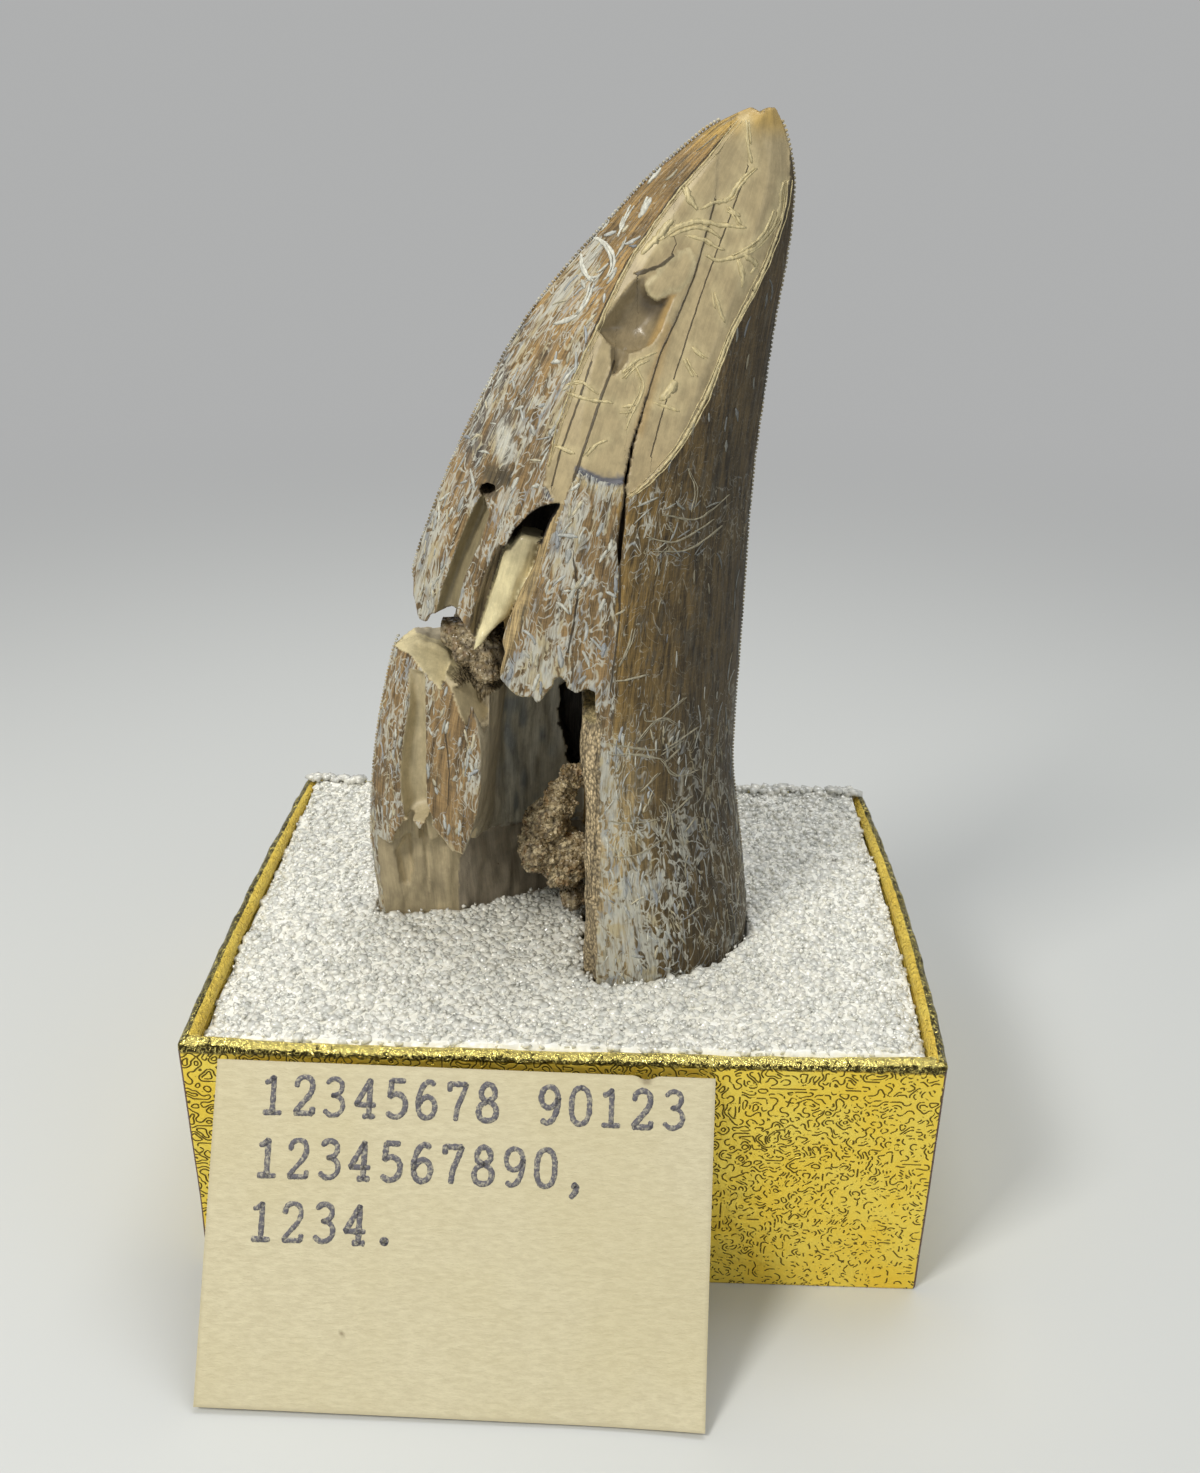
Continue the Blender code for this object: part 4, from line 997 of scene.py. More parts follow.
def toothFinish():
    finish, shader, place = newFinish("fossilTooth")
    parts = axesOf(place)
    fibre = reading(shader, "fibre")
    along = joined(fibre, parts[1], parts[2])
    tone = reading(shader, "tone", "Vector")
    etch, crumb = reading(shader, "etch"), reading(shader, "crumb")
    gloss, outer = reading(shader, "gloss"), reading(shader, "outer")
    plain = reading(shader, "plain")

    # grain along the fibres, strongest on the enamel
    grain = cloud(along, (2.2, 1.6, 0.16), 4.0, 0.62)
    fineGrain = cloud(along, (8.0, 5.0, 0.42), 3.0, 0.6)
    bands = cloud(along, (0.5, 0.5, 6.5), 1.0, 0.5)
    mottle = cloud(place, (1.1, 1.1, 0.8), 5.0, 0.7)
    strength = minus(1.0, times(plain, 0.88))
    light = plus(ease(grain, 0.32, 0.68, -0.48, 0.52), ease(fineGrain, 0.36, 0.64, -0.24, 0.26))
    light = plus(light, times(outer, ease(bands, 0.38, 0.62, -0.08, 0.08)))
    light = plus(times(light, strength), ease(mottle, 0.34, 0.66, -0.14, 0.12))
    colour = greyTimes(tone, plus(1.0, light))

    # root marks: brushed patches, and thin strokes that mostly follow the fibres
    wander = cloud(along, (0.45, 0.45, 0.22), 2.0, 0.5, output="Color")
    bent = vectors("MULTIPLY_ADD", wander, (2.6, 2.6, 2.6), along)
    brush = cloud(bent, (2.5, 1.4, 0.8), 4.0, 0.6, 0.4, turn=(0.0, 0.12, 0.0))
    level = minus(0.69, times(etch, 0.185))
    brushed = ease(minus(brush, level), -0.04, 0.06)
    streaks = cloud(along, (5.5, 3.0, 0.7), 2.0, 0.6)
    marked = times(brushed, ease(streaks, 0.34, 0.55, 0.4, 0.92))
    # and a net of curved marks: level lines of two bent clouds, wider where the etching is denser
    for turn, shift in ((0.5, 0.0), (-0.6, 17.0)):
        hill = cloud(bent, (1.05, 0.75, 0.62), 1.5, 0.5, 0.5, turn=(0.0, turn, 0.0), shift=(shift,) * 3)
        off = maths("ABSOLUTE", minus(hill, 0.5))
        off = minus(off, times(etch, 0.026))
        line = ease(off, -0.012, 0.012, 1.0, 0.0)
        marked = maths("MAXIMUM", marked, times(line, ease(streaks, 0.36, 0.6, 0.5, 0.95)))
    marked = times(marked, ease(etch, 0.01, 0.08))
    hue = cloud(along, (0.9, 0.9, 0.45), 3.0)
    markTone = blend(ease(hue, 0.35, 0.47), rootMarks["blue"], rootMarks["white"])
    markTone = blend(ease(hue, 0.52, 0.64), markTone, rootMarks["cream"])
    # painted shade: the marks fade towards the right edge, where that side turns from the light, and less so
    # low on the column
    shadeDim = ease(fibre, 19.0, 28.0, 0.92, 0.45)
    shadeDim = maths("MINIMUM", plus(shadeDim, ease(parts[2], 25.0, 36.0, 0.3, 0.0)), 0.92)
    shade = cloud(along, (1.5, 1.0, 0.42), 3.0, 0.6, shift=(9.0, 4.0, 2.0))
    shaded = times(ease(shade, 0.54, 0.66), times(outer, 0.55))
    colour = blend(shaded, colour, rootMarks["shade"])
    colour = blend(times(marked, shadeDim), colour, markTone)

    # crumbly broken faces: dark pits between pale grains
    grit = cells(stretch(place, (4.6, 4.6, 3.2)), 1.0)
    colour = blend(crumb, colour, greyTimes(colour, ease(grit, 0.25, 0.75, 1.2, 0.45)))

    # hairline cracks
    dark = None
    jag = cloud(place, (2.2, 2.2, 1.4), 3.0)
    jag = times(minus(jag, 0.5), 0.14)
    offs = [axesOf(reading(shader, "hair%d" % k, "Vector")) for k in range(3)]
    for k, (line, half) in enumerate(hairlines):
        gap = maths("ABSOLUTE", plus(offs[k // 3][k % 3], jag))
        line = ease(gap, half * 0.6, half * 1.6, 1.0, 0.0)
        dark = line if dark is None else maths("MAXIMUM", dark, line)
    colour = blend(times(dark, 0.88), colour, (0.045, 0.033, 0.018))
    rough = plus(minus(0.58, times(gloss, 0.38)), times(marked, 0.08))
    setLook(shader, Base_Color=colour, Roughness=rough, IOR=1.52, Specular_IOR_Level=0.36)
    heights = plus(times(fineGrain, strength), times(marked, 0.25))
    relief(shader, heights, 0.00007)
    relief(shader, times(dark, -1.0), 0.00006)
    relief(shader, times(minus(1.0, grit), crumb), 0.00022)
    return finish


serrations = {"pitch": 0.29, "from": 26.0, "to": 79.6, "size": (0.13, 0.17, 0.12), "reach": 0.75}


def serrationBeads(finder):
    # tiny teeth along the two cutting edges, where the edges are still there
    points, faces = [], []
    ring = [(math.cos(a), math.sin(a)) for a in np.linspace(0, 2 * math.pi, 6, endpoint=False)]
    for side in (1, 2):
        name = "left" if side == 1 else "right"
        z = serrations["from"]
        while z < serrations["to"]:
            x = float(between(crown["height"], crown[name], z))
            y = crown["ridgeY"]
            lean = float(between(crown["height"], crown[name], z + 0.3)) - x
            z += serrations["pitch"] * 0.3 / math.hypot(0.3, lean)
            spot, facing, face, gap = finder.find_nearest(Vector((x, y, z)))
            if gap > serrations["reach"] or abs(facing.x) < 0.35:
                continue
            x, y = spot.x, spot.y
            wide, deep, tall = serrations["size"]
            start = len(points)
            points.append((x, y, z - tall))
            for level in (-0.45, 0.45):
                points += [(x + wide * 0.9 * c, y + deep * 0.9 * s, z + tall * level) for c, s in ring]
            points.append((x, y, z + tall))
            count = len(ring)
            for k in range(count):
                n = (k + 1) % count
                faces.append((start, start + 1 + n, start + 1 + k))
                faces.append((start + 1 + k, start + 1 + n, start + 1 + count + n))
                faces.append((start + 1 + k, start + 1 + count + n, start + 1 + count + k))
                faces.append((start + 1 + count + k, start + 1 + count + n, start + 1 + 2 * count))
    return np.array(points), np.array(faces)


def makeTooth():
    axes, solid = carveTooth()
    points, quads = withoutCrumbs(*zeroSurface(solid, axes, block["cell"]))
    most = block["mostTriangles"]
    points, faces = thinned(points, quads, most)
    finder = BVHTree.FromPolygons(points.tolist(), faces.tolist(), all_triangles=True)
    beads, beadFaces = serrationBeads(finder)
    looks = paintTooth(points)
    beadLooks = paintTooth(beads)
    beadLooks["outer"][:] = 1.0
    beadLooks["etch"][:] = 0.9
    beadLooks["tone"] = beadLooks["tone"] * 0.5 + np.array(rootMarks["cream"]) * 0.4
    faces = np.concatenate([faces, beadFaces + len(points)])
    points = np.concatenate([points, beads])
    tooth = finishPiece("fossilTooth", points, faces, toothFinish(), "tooth")
    for name, values in looks.items():
        storeReading(tooth.data, name, np.concatenate([values, beadLooks[name]]))
    x, z = points[:, 0], points[:, 2]
    back = points[:, 1] > crown["ridgeY"]
    hair = [np.where(back, 9.0, signedOff(x, z, line)) for line, half in hairlines]
    for k in range(3):
        storeReading(tooth.data, "hair%d" % k, np.stack(hair[3 * k:3 * k + 3], axis=1))
    print("tooth carved:", len(faces), "triangles")
    return points, faces, looks


# Pale strokes that stand out from the surface by a hair: root marks on the enamel, veins on the facet

strokes = {
    "lift": 0.014, "sunk": 0.06, "pace": 0.20,
    "candidates": 4600,
    "tones": [(0.58, 0.575, 0.49), (0.47, 0.48, 0.44), (0.37, 0.39, 0.395), (0.54, 0.49, 0.34)],
    "toneShares": [0.42, 0.30, 0.08, 0.20],
    "veinTone": (0.58, 0.49, 0.265),
}


def ridges(name, lines, finish):
    # thin closed strips: for each line its places, the surface's direction there, its widths and its tone
    allPoints, allFaces, allTones, start = [], [], [], 0
    for spots, facing, widths, tone in lines:
        spots, facing = np.asarray(spots, float), np.asarray(facing, float)
        across = np.cross(facing, np.gradient(spots, axis=0))
        across /= np.linalg.norm(across, axis=1)[:, None] + 1e-9
        half = np.asarray(widths)[:, None] / 2
        top = spots + facing * strokes["lift"]
        rings = np.stack([top + across * half, top - across * half, spots - facing * strokes["sunk"]], axis=1)
        count = len(spots)
        low = (np.arange(count - 1) * 3)[:, None, None]
        pattern = [(0, 1, 4), (0, 4, 3), (1, 2, 5), (1, 5, 4), (2, 0, 3), (2, 3, 5)]
        body = (np.array(pattern)[None] + low).reshape(-1, 3)
        ends = np.array([(0, 2, 1), (3 * count - 3, 3 * count - 2, 3 * count - 1)])
        allPoints.append(rings.reshape(-1, 3))
        allFaces.append(np.vstack([body, ends]) + start)
        allTones.append(np.tile(np.array(tone), (3 * count, 1)))
        start += 3 * count
    points, faces = np.vstack(allPoints), np.vstack(allFaces)
    piece = finishPiece(name, points, faces, finish, None, smooth=False)
    storeReading(piece.data, "tone", np.vstack(allTones))
    print(name, "laid:", len(lines), "lines,", len(faces), "triangles")


def shareAcross(x, z):
    left, right = crownEdges(z)[:2]
    return (x - left) / (right - left)


def fibreHeading(x, z):
    # which way the fibres run at a place, upwards
    leftUp, rightUp = crownEdges(z + 1.0)[:2]
    return Vector((leftUp + shareAcross(x, z) * (rightUp - leftUp) - x, 0.0, 1.0)).normalized()


# for each part of the enamel: how likely a stroke is, its turn from the fibres, the share that follows
# them, and its length and width
habits = {
    "back": (0.20, 0.6, 1.0, 1.4, 1.0),
    "upperLeft": (0.50, 1.0, 0.70, 0.8, 1.15),
    "upperRight": (0.05, 0.4, 1.0, 1.0, 1.0),
    "flake": (0.38, 1.3, 0.75, 0.9, 1.3),
    "leftStrips": (0.42, 1.0, 0.85, 0.9, 1.25),
    "leftBlock": (0.40, 1.0, 0.75, 0.8, 1.2),
    "columnTop": (0.07, 0.4, 1.0, 0.9, 0.6),
    "columnEdge": (0.35, 0.3, 1.0, 1.1, 0.6),
    "column": (0.15, 0.7, 0.80, 0.75, 0.85),
}


def enamelPart(x, y, z):
    if y > crown["ridgeY"]:
        return "back"
    if z > 58:
        return "upperLeft" if x < 6.5 else "upperRight"
    if -5.4 < x < 3.1 and z > 42:
        return "flake"
    if x < -4:
        return "leftStrips" if z > 44 else "leftBlock"
    if z > 43.5:
        return "columnTop"
    return "columnEdge" if shareAcross(x, z) > 0.84 else "column"


def strokeHabit(x, y, z, rng):
    turn = rng.normal(0.0, 0.28)
    length, width = rng.uniform(0.7, 1.9), rng.uniform(0.16, 0.40)
    cross = rng.choice([-1, 1]) * rng.uniform(0.5, 1.3)
    chance = rng.uniform()
    part = enamelPart(x, y, z)
    likely, turning, following, longer, wider = habits[part]
    turn = turn * turning if chance < following else cross
    if part == "upperLeft":
        likely -= 0.35 * float(step(z, 70, 76))
    if part == "column":
        likely += 0.45 * float(step(z, 42.5, 38.5))
    if part == "columnTop":
        # a belt of strokes across the fibres
        likely += 0.3 * float(step(z, 51, 53.5) * (1 - step(z, 55.5, 57.5))) * (shareAcross(x, z) < 0.85)
        turn = cross * 1.1 if 52 < z < 57 else turn
    return likely, turn, length * longer, width * wider


def walkStroke(finder, isEnamel, place, heading, bend, length):
    # follows the surface in small steps until it ends or the enamel does
    spot, facing, face, gap = finder.find_nearest(place)
    spots, normals = [spot], [facing]
    for k in range(int(length / strokes["pace"])):
        heading = heading - facing * heading.dot(facing)
        heading.normalize()
        nextSpot, nextFacing, face, gap = finder.find_nearest(spot + heading * strokes["pace"])
        if face is None or not isEnamel[face]:
            break
        if nextFacing.dot(facing) < 0.7 or (nextSpot - spot).length < 0.1:
            break
        heading = heading + facing.cross(heading) * bend
        spot, facing = nextSpot, nextFacing
        spots.append(spot)
        normals.append(facing)
    return spots, normals


def tapered(count, width, rng):
    along = np.linspace(0, 1, count)
    rough = rng.uniform(0.65, 1.2, count)
    return width * np.clip(np.sin(math.pi * (0.08 + 0.84 * along)) ** 0.6, 0.15, 1) * rough


def laidLine(finder, line, width, tone, rng, shift=0.0):
    # a drawn line, smoothed and dropped onto the front of the tooth
    line = np.array(line, float)
    far = np.concatenate([[0], np.cumsum(np.hypot(*np.diff(line, axis=0).T))])
    steps = np.arange(0, far[-1] + 0.1, 0.2)
    xs, zs = between(far, line[:, 0], steps), between(far, line[:, 1], steps)
    xs = (xs + shift + 0.05 * softNoise(151, steps / 0.7 + shift * 7, zs)
          + 0.10 * softNoise(154, steps / 2.5, shift * 9))
    zs = zs + 0.05 * softNoise(152, steps / 0.7, xs)
    spots, normals = [], []
    for x, z in zip(xs, zs):
        spot, facing, face, gap = finder.ray_cast(Vector((x, -30, z)), Vector((0, 1, 0)))
        if spot is None or (spots and abs(spot.y - spots[-1].y) > 0.35):
            if len(spots) > 2:
                break
            spots, normals = [], []
            continue
        spots.append(spot)
        normals.append(facing)
    if len(spots) < 3:
        return []
    return [(spots, normals, tapered(len(spots), width, rng), tone)]


def strokeFinish(name, roughness):
    finish, shader, place = newFinish(name)
    grain = cloud(place, (5.0, 5.0, 1.6), 2.0)
    colour = greyTimes(reading(shader, "tone", "Vector"), ease(grain, 0.3, 0.7, 0.72, 1.12))
    setLook(shader, Base_Color=colour, Roughness=roughness)
    return finish


def makeStrokes(points, faces, looks):
    rng = np.random.default_rng(150)
    finder = BVHTree.FromPolygons(points.tolist(), faces.tolist(), all_triangles=True)
    corners = points[faces]
    area = np.linalg.norm(np.cross(corners[:, 1] - corners[:, 0], corners[:, 2] - corners[:, 0]), axis=1)
    outer = np.zeros(len(points))
    outer[:len(looks["outer"])] = looks["outer"] * (looks["etch"] > 0.02)
    isEnamel = outer[faces].mean(axis=1) > 0.7
    middle = corners.mean(axis=1)
    wanted = isEnamel & (middle[:, 2] > 20.2)
    odds = area * wanted
    lines = []
    for face in rng.choice(len(faces), strokes["candidates"], p=odds / odds.sum()):
        x, y, z = middle[face]
        likely, turn, length, width = strokeHabit(x, y, z, rng)
        clump = float(softNoise(153, x / 2.4, y / 2.4, z / 3.4))
        pick, bend, toneAt = rng.uniform(), rng.normal(0, 0.07), rng.choice(4, p=strokes["toneShares"])
        if pick > likely * (0.85 + 0.9 * clump):
            continue
        heading = fibreHeading(x, z)
        facing = finder.find_nearest(Vector(middle[face]))[1]
        heading = Matrix.Rotation(turn, 3, facing) @ (heading - facing * heading.dot(facing))
        spots, normals = walkStroke(finder, isEnamel, Vector(middle[face]), heading, bend, length)
        if len(spots) < 4:
            continue
        # painted shade: marks near the right edge are dimmed, as that side turns from the light; on the upper
        # column they are dimmer as well
        shadeDim = 1.0 - 0.5 * float(step(shareAcross(x, z), 0.72, 0.95))
        if z > 43.5 and x > 3.2:
            shadeDim *= 0.62
        tone = np.array(strokes["tones"][toneAt]) * shadeDim * rng.uniform(0.75, 1.05)
        lines.append((spots, normals, tapered(len(spots), width, rng), tone))
    for line, width in enamelMarks:
        for shift in (-0.12, 0.1):
            lines += laidLine(finder, line, width, strokes["tones"][0], rng, shift)
    for line, width in columnMarks:
        for shift, part in ((0.0, 0.55), (0.14, 0.4)):
            lines += laidLine(finder, line, width * part, np.array(strokes["tones"][3]) * 0.66, rng, shift)
    ridges("rootMarks", lines, strokeFinish("rootMarks", 0.6))

    lines = []
    for line, width in veins:
        lines += laidLine(finder, line, width * 1.35, strokes["veinTone"], rng)
        lines += laidLine(finder, line[:-1] if len(line) > 2 else line, width * 0.7, strokes["veinTone"], rng,
                          rng.choice([-1, 1]) * rng.uniform(0.16, 0.26))
    for shift, width in ((-0.2, 0.10), (0.0, 0.32), (0.26, 0.17)):
        lines += laidLine(finder, rightRidge[::-1], width, strokes["veinTone"], rng, shift)
    for shift, width in ((-0.08, 0.17), (0.2, 0.09)):
        lines += laidLine(finder, leftRidge[::-1], width, strokes["veinTone"], rng, shift)
    ridges("paleVeins", lines, strokeFinish("paleVeins", 0.5))


# white patches on the upper enamel that stand out one by one, as (x, z) points and a width
enamelMarks = [
    ([(4.45, 75.8), (4.8, 76.3), (5.2, 76.8)], 0.5),
    ([(3.9, 73.8), (4.27, 74.4), (4.6, 75.1)], 0.6),
    ([(0.17, 71.6), (0.45, 72.2), (0.97, 72.45), (1.7, 72.2), (2.21, 71.58), (2.3, 70.9), (2.07, 70.31)],
     0.34),
    ([(0.17, 71.6), (0.2, 70.9), (0.55, 70.3), (1.1, 69.9)], 0.34),
    ([(-1.5, 67.2), (-0.7, 67.5), (-0.03, 67.9)], 0.42),
    ([(-0.03, 67.9), (0.6, 68.8), (1, 69.9)], 0.36),
    ([(2.6, 72.6), (3, 73.6), (3.5, 74.5)], 0.3),
]

makeStrokes(*makeTooth())


# The foil box: board folded into a tray and wrapped in embossed gold foil

box = {
    "width": 53.5, "depth": 41.0, "height": 21.0, "board": 1.2,
    "bow": (0.4, 0.7),              # left and right walls swell outwards at the rim
    "crinkle": 0.10,
    "corner": 0.35, "foilOver": 0.62, "rimBand": (20.2, 20.45), "frontSag": 0.45,
    "alongStep": 0.22,
    "wallRows": 46,
    "levels": 5.2,
    # the third foil colour is painted shade for the embossed lines
    "foilTone": (0.99, 0.71, 0.075), "foilPale": (0.99, 0.78, 0.13), "grooveShade": (0.075, 0.045, 0.006),
    # the rim's colours are painted reflections: bright glints on painted shade
    "rimGlint": (0.97, 0.82, 0.25), "rimShade": (0.055, 0.042, 0.006),
    "liningTone": (0.72, 0.50, 0.06), "liningPale": (0.82, 0.62, 0.10),
    "boardTone": (0.10, 0.04, 0.018), "boardPale": (0.55, 0.49, 0.38),
}


def boxSection():
    # the wall's profile from the outer foot over the rim to the tray's floor: inset, height, tag
    height, board = box["height"], box["board"]
    rows = [(0.15, 0.0, 0), (0.02, 0.06, 0)]
    rows += [(0.0, 0.2 + (height - 1.0) * k / box["wallRows"], 0) for k in range(box["wallRows"] + 1)]
    middle, radius = board / 2, board / 2
    for k in range(13):
        turn = math.pi * k / 12
        rows.append((middle - radius * math.cos(turn), height - 0.55 + 0.55 * math.sin(turn), 1))
    rows += [(board, height - 0.55 - (height - 3.0) * k / 10, 2) for k in range(1, 11)]
    rows.append((board, board, 2))
    return rows


def boxOutline():
    # evenly spaced points round the tray: x and y of the outer face, its outward normal, and the wall's swell
    halfX, halfY, corner = box["width"] / 2, box["depth"] / 2, box["corner"]
    points = []
    sides = ((halfX, (0, -1)), (halfY, (1, 0)), (halfX, (0, 1)), (halfY, (-1, 0)))
    for side, (length, normal) in enumerate(sides):
        count = int(2 * (length - corner) / box["alongStep"])
        along = (-normal[1], normal[0])
        far = halfY if side % 2 == 0 else halfX
        for k in range(count + 1):
            t = -1 + 2 * k / count
            reach = t * (length - corner)
            bow = (0.0, box["bow"][1], 0.0, box["bow"][0])[side]
            points.append((along[0] * reach + normal[0] * far, along[1] * reach + normal[1] * far,
                           normal[0], normal[1], bow * (1 - (reach / length) ** 2), normal[0], normal[1]))
        for k in range(1, 5):
            turn = math.pi / 2 * k / 5
            facing = (normal[0] * math.cos(turn) + along[0] * math.sin(turn),
                      normal[1] * math.cos(turn) + along[1] * math.sin(turn))
            centre = (along[0] * (length - corner) + normal[0] * (far - corner),
                      along[1] * (length - corner) + normal[1] * (far - corner))
            points.append((centre[0] + facing[0] * corner, centre[1] + facing[1] * corner,
                           facing[0], facing[1], 0.0, normal[0] + along[0], normal[1] + along[1]))
    return points


def boxFinish():
    finish, shader, place = newFinish("goldFoil")
    parts = axesOf(place)
    zone, corner = reading(shader, "zone"), reading(shader, "nearCorner")
    sheen = reading(shader, "sheen")
    wobble = cloud(place, 1.6, 2.0)
    height = plus(parts[2], times(wobble, 0.5))
    rim = ease(height, *box["rimBand"])
    lining = ease(plus(zone, times(wobble, 0.25)), 1.60, 1.66)

    # wormy embossing: level lines of a soft noise, all of one width, broken into short pieces
    flat = joined(plus(parts[0], parts[1]), parts[2])
    hills = [cloud(stretch(flat, (1.0, 1.0, 1.0), shift=shift), 1.25, 0.0)
             for shift in ((0, 0, 0), (0.05, 0, 0), (0, 0.05, 0))]
    slopes = [times(minus(hill, hills[0]), 20.0) for hill in hills[1:]]
    steep = vectors("LENGTH", joined(*slopes), output="Value")
    levels = maths("FRACT", times(hills[0], box["levels"]))
    away = maths("ABSOLUTE", minus(levels, 0.5))
    away = maths("DIVIDE", away, times(maths("MAXIMUM", steep, 0.12), box["levels"]))
    lines = ease(away, 0.030, 0.075, 1.0, 0.0)
    breaks = cloud(flat, 2.1, 1.0)
    # whole lines high up and on the left, only short ones low down on the right
    reach = plus(times(parts[0], -0.0030), times(parts[2], 0.0050))
    worms = times(lines, ease(plus(breaks, reach), 0.455, 0.50))
    tint = cloud(place, 0.30, 4.0, 0.6)
    foil = blend(ease(tint, 0.3, 0.7), box["foilTone"], box["foilPale"])
    # painted shade: the embossed lines are darkened in the colour, standing in for the dark that their slopes
    # reflect
    foil = blend(times(worms, 0.92), foil, box["grooveShade"])

    # rim: creased foil, painted reflections: thin bright curls and folds on painted dark, standing in for
    # what the creases reflect
    crease = cloud(place, (2.6, 2.6, 1.9), 2.0, 0.6, 1.0, turn=(0.3, 0.5, 0.0))
    curls = ease(maths("ABSOLUTE", minus(crease, 0.5)), 0.012, 0.045, 1.0, 0.0)
    folds = cloud(place, (2.0, 2.0, 1.2), 1.0, 0.5, 1.5, turn=(0.0, 0.4, 0.0), shift=(5.0, 0.0, 0.0))
    folds = plus(folds, times(minus(sheen, 0.5), 0.5))
    bright = maths("MAXIMUM", times(curls, ease(sheen, 0.2, 0.5, 0.35, 0.9)), ease(folds, 0.50, 0.62))
    colour = blend(rim, foil, blend(bright, box["rimShade"], box["rimGlint"]))
    colour = blend(lining, colour, blend(ease(tint, 0.3, 0.7), box["liningTone"], box["liningPale"]))
    worn = times(ease(corner, 0.18, 0.28), ease(crease, 0.25, 0.33))
    colour = blend(worn, colour, box["boardTone"])
    colour = blend(ease(corner, 0.86, 0.92), colour, box["boardPale"])
    metal = times(minus(0.80, times(lining, 0.62)), ease(corner, 0.15, 0.30, 1.0, 0.05))
    rough = plus(ease(rim, 0.0, 1.0, 0.38, 0.22), times(lining, 0.30))
    setLook(shader, Base_Color=colour, Metallic=metal, Roughness=rough)
    relief(shader, times(worms, -1.0), 0.00010)
    relief(shader, times(crease, rim), 0.00040)
    relief(shader, tint, 0.00025)
    return finish


def makeBox():
    rows, outline = boxSection(), boxOutline()
    points, zones, corners, sheens = [], [], [], []
    for inset, height, zone in rows:
        rise = height / box["height"]
        for x, y, nx, ny, bow, ox, oy in outline:
            # corners mitre: a point goes inwards along both walls
            px = x - ox * inset + (nx * bow * rise)
            py = y - oy * inset + (ny * bow * rise)
            points.append((px, py, height))
            sideWall = abs(nx) > 0.7
            zones.append(2 if sideWall and inset > box["foilOver"] else zone)
            turned = math.degrees(math.atan2(abs(nx), abs(ny))) if abs(nx * ny) > 1e-6 and zone == 0 else 0.0
            corners.append(turned / 90)
            # how much painted reflection the creased foil shows: mostly on top of the front rim
            sheens.append(0.36 if sideWall else 0.9 if inset > 0.10 else 0.34)
    points, zones = np.array(points), np.array(zones, float)
    x, y, z = points.T
    # the front rim sags a little between its corners
    atFront = 1 - step(y + box["depth"] / 2, box["board"], box["board"] + 0.3)
    points[:, 2] -= box["frontSag"] * atFront * step(z, 14.0, 21.0) * (1 - np.abs(2 * x / box["width"]) ** 4)
    swell = step(z, box["height"] - 3.0, box["height"]) * (zones < 1.5)
    crush = softNoise(91, x / 1.1, y / 1.1, z / 0.8) + 0.6 * softNoise(92, x / 0.5, y / 0.5, z / 0.5)
    outward = np.array([(nx, ny) for _ in rows for x0, y0, nx, ny, *rest in outline])
    points[:, 2] += box["crinkle"] * softNoise(93, x * 0.7, y * 0.7) * step(z, 15, 21)
    points[:, 2] += 0.045 * crush * (zones == 1)
    push = 0.035 * crush * swell + 0.08 * softNoise(94, x / 9, y / 9, z / 7) * step(z, 1, 6) * (zones < 1)
    points[:, :2] += outward * np.minimum(push, 0.05)[:, None]
    wide = len(outline)
    ring = np.arange(len(rows) * wide).reshape(len(rows), wide)
    after = np.roll(ring, -1, axis=1)
    quads = np.stack([ring[:-1], after[:-1], after[1:], ring[1:]], -1).reshape(-1, 4)
    # the underside and the tray's floor close the skin
    centres = [[0.0, 0.0, rows[0][1]], [0.0, 0.0, rows[-1][1]]]
    under = np.stack([after[0], ring[0], np.full(wide, len(points))], 1)
    floor = np.stack([ring[-1], after[-1], np.full(wide, len(points) + 1)], 1)
    points = np.vstack([points, centres])
    zones, corners, sheens = np.append(zones, (0.0, 2.0)), corners + [0.0] * 2, sheens + [0.3] * 2
    triangles = np.vstack([triangulated(quads), under, floor])
    tray = finishPiece("foilBox", points, triangles, boxFinish(), "foil_box", sharpAngle=60)
    storeReading(tray.data, "zone", zones)
    storeReading(tray.data, "nearCorner", np.array(corners))
    storeReading(tray.data, "sheen", np.array(sheens))
    print("foil box made:", len(triangles), "triangles")


# The granules: clear crystal grit heaped to the rim, on a bed of packed grit

granules = {
    "top": 20.5, "heap": 0.9, "unevenness": 0.22, "sideDip": 0.42, "dipWidth": 1.8,
    "spacing": 0.60, "sizes": (0.34, 0.56), "bedBelow": 0.11, "frontHeap": 0.12,
    "fineSpacing": 0.70, "fineSizes": (0.14, 0.24),
    "tone": (0.92, 0.925, 0.86), "milk": (0.90, 0.885, 0.79), "bedTone": (0.84, 0.825, 0.73),
    "stain": (0.50, 0.30, 0.12), "stainAt": (12.8, 1.6, 20.9),
}


def bedHeight(x, y):
    across = np.clip(y / (box["depth"] / 2 - box["board"]), 0, 1)
    swell = softNoise(101, x / 6.0, y / 6.0) * 0.6 + softNoise(102, x / 2.2, y / 2.2) * 0.4
    nearSide = 1 - step(box["width"] / 2 - box["board"] - np.abs(x), 0.0, granules["dipWidth"])
    dip = granules["sideDip"] * nearSide * (1 - across) * (0.8 + 0.5 * softNoise(104, x / 5, y / 3.5))
    nearFront = 1 - step(y + box["depth"] / 2 - box["board"], 0.0, 1.8)
    return (granules["top"] + granules["heap"] * across ** 6 + granules["unevenness"] * swell - dip
            + granules["frontHeap"] * nearFront)


def insideTray(y, z, side):
    bow = np.where(side < 0, box["bow"][0], box["bow"][1]) * z / box["height"]
    return box["width"] / 2 - box["board"] + bow * (1 - (2 * y / box["depth"]) ** 2)


def footDistance(x, y):
    # distance to what stands in the bed: the crown's section without the broken part, negative inside
    whole = crownField(x, y, np.full_like(x, granules["top"]))
    return np.maximum(whole, -outlineDistance(x, y, breakLow))


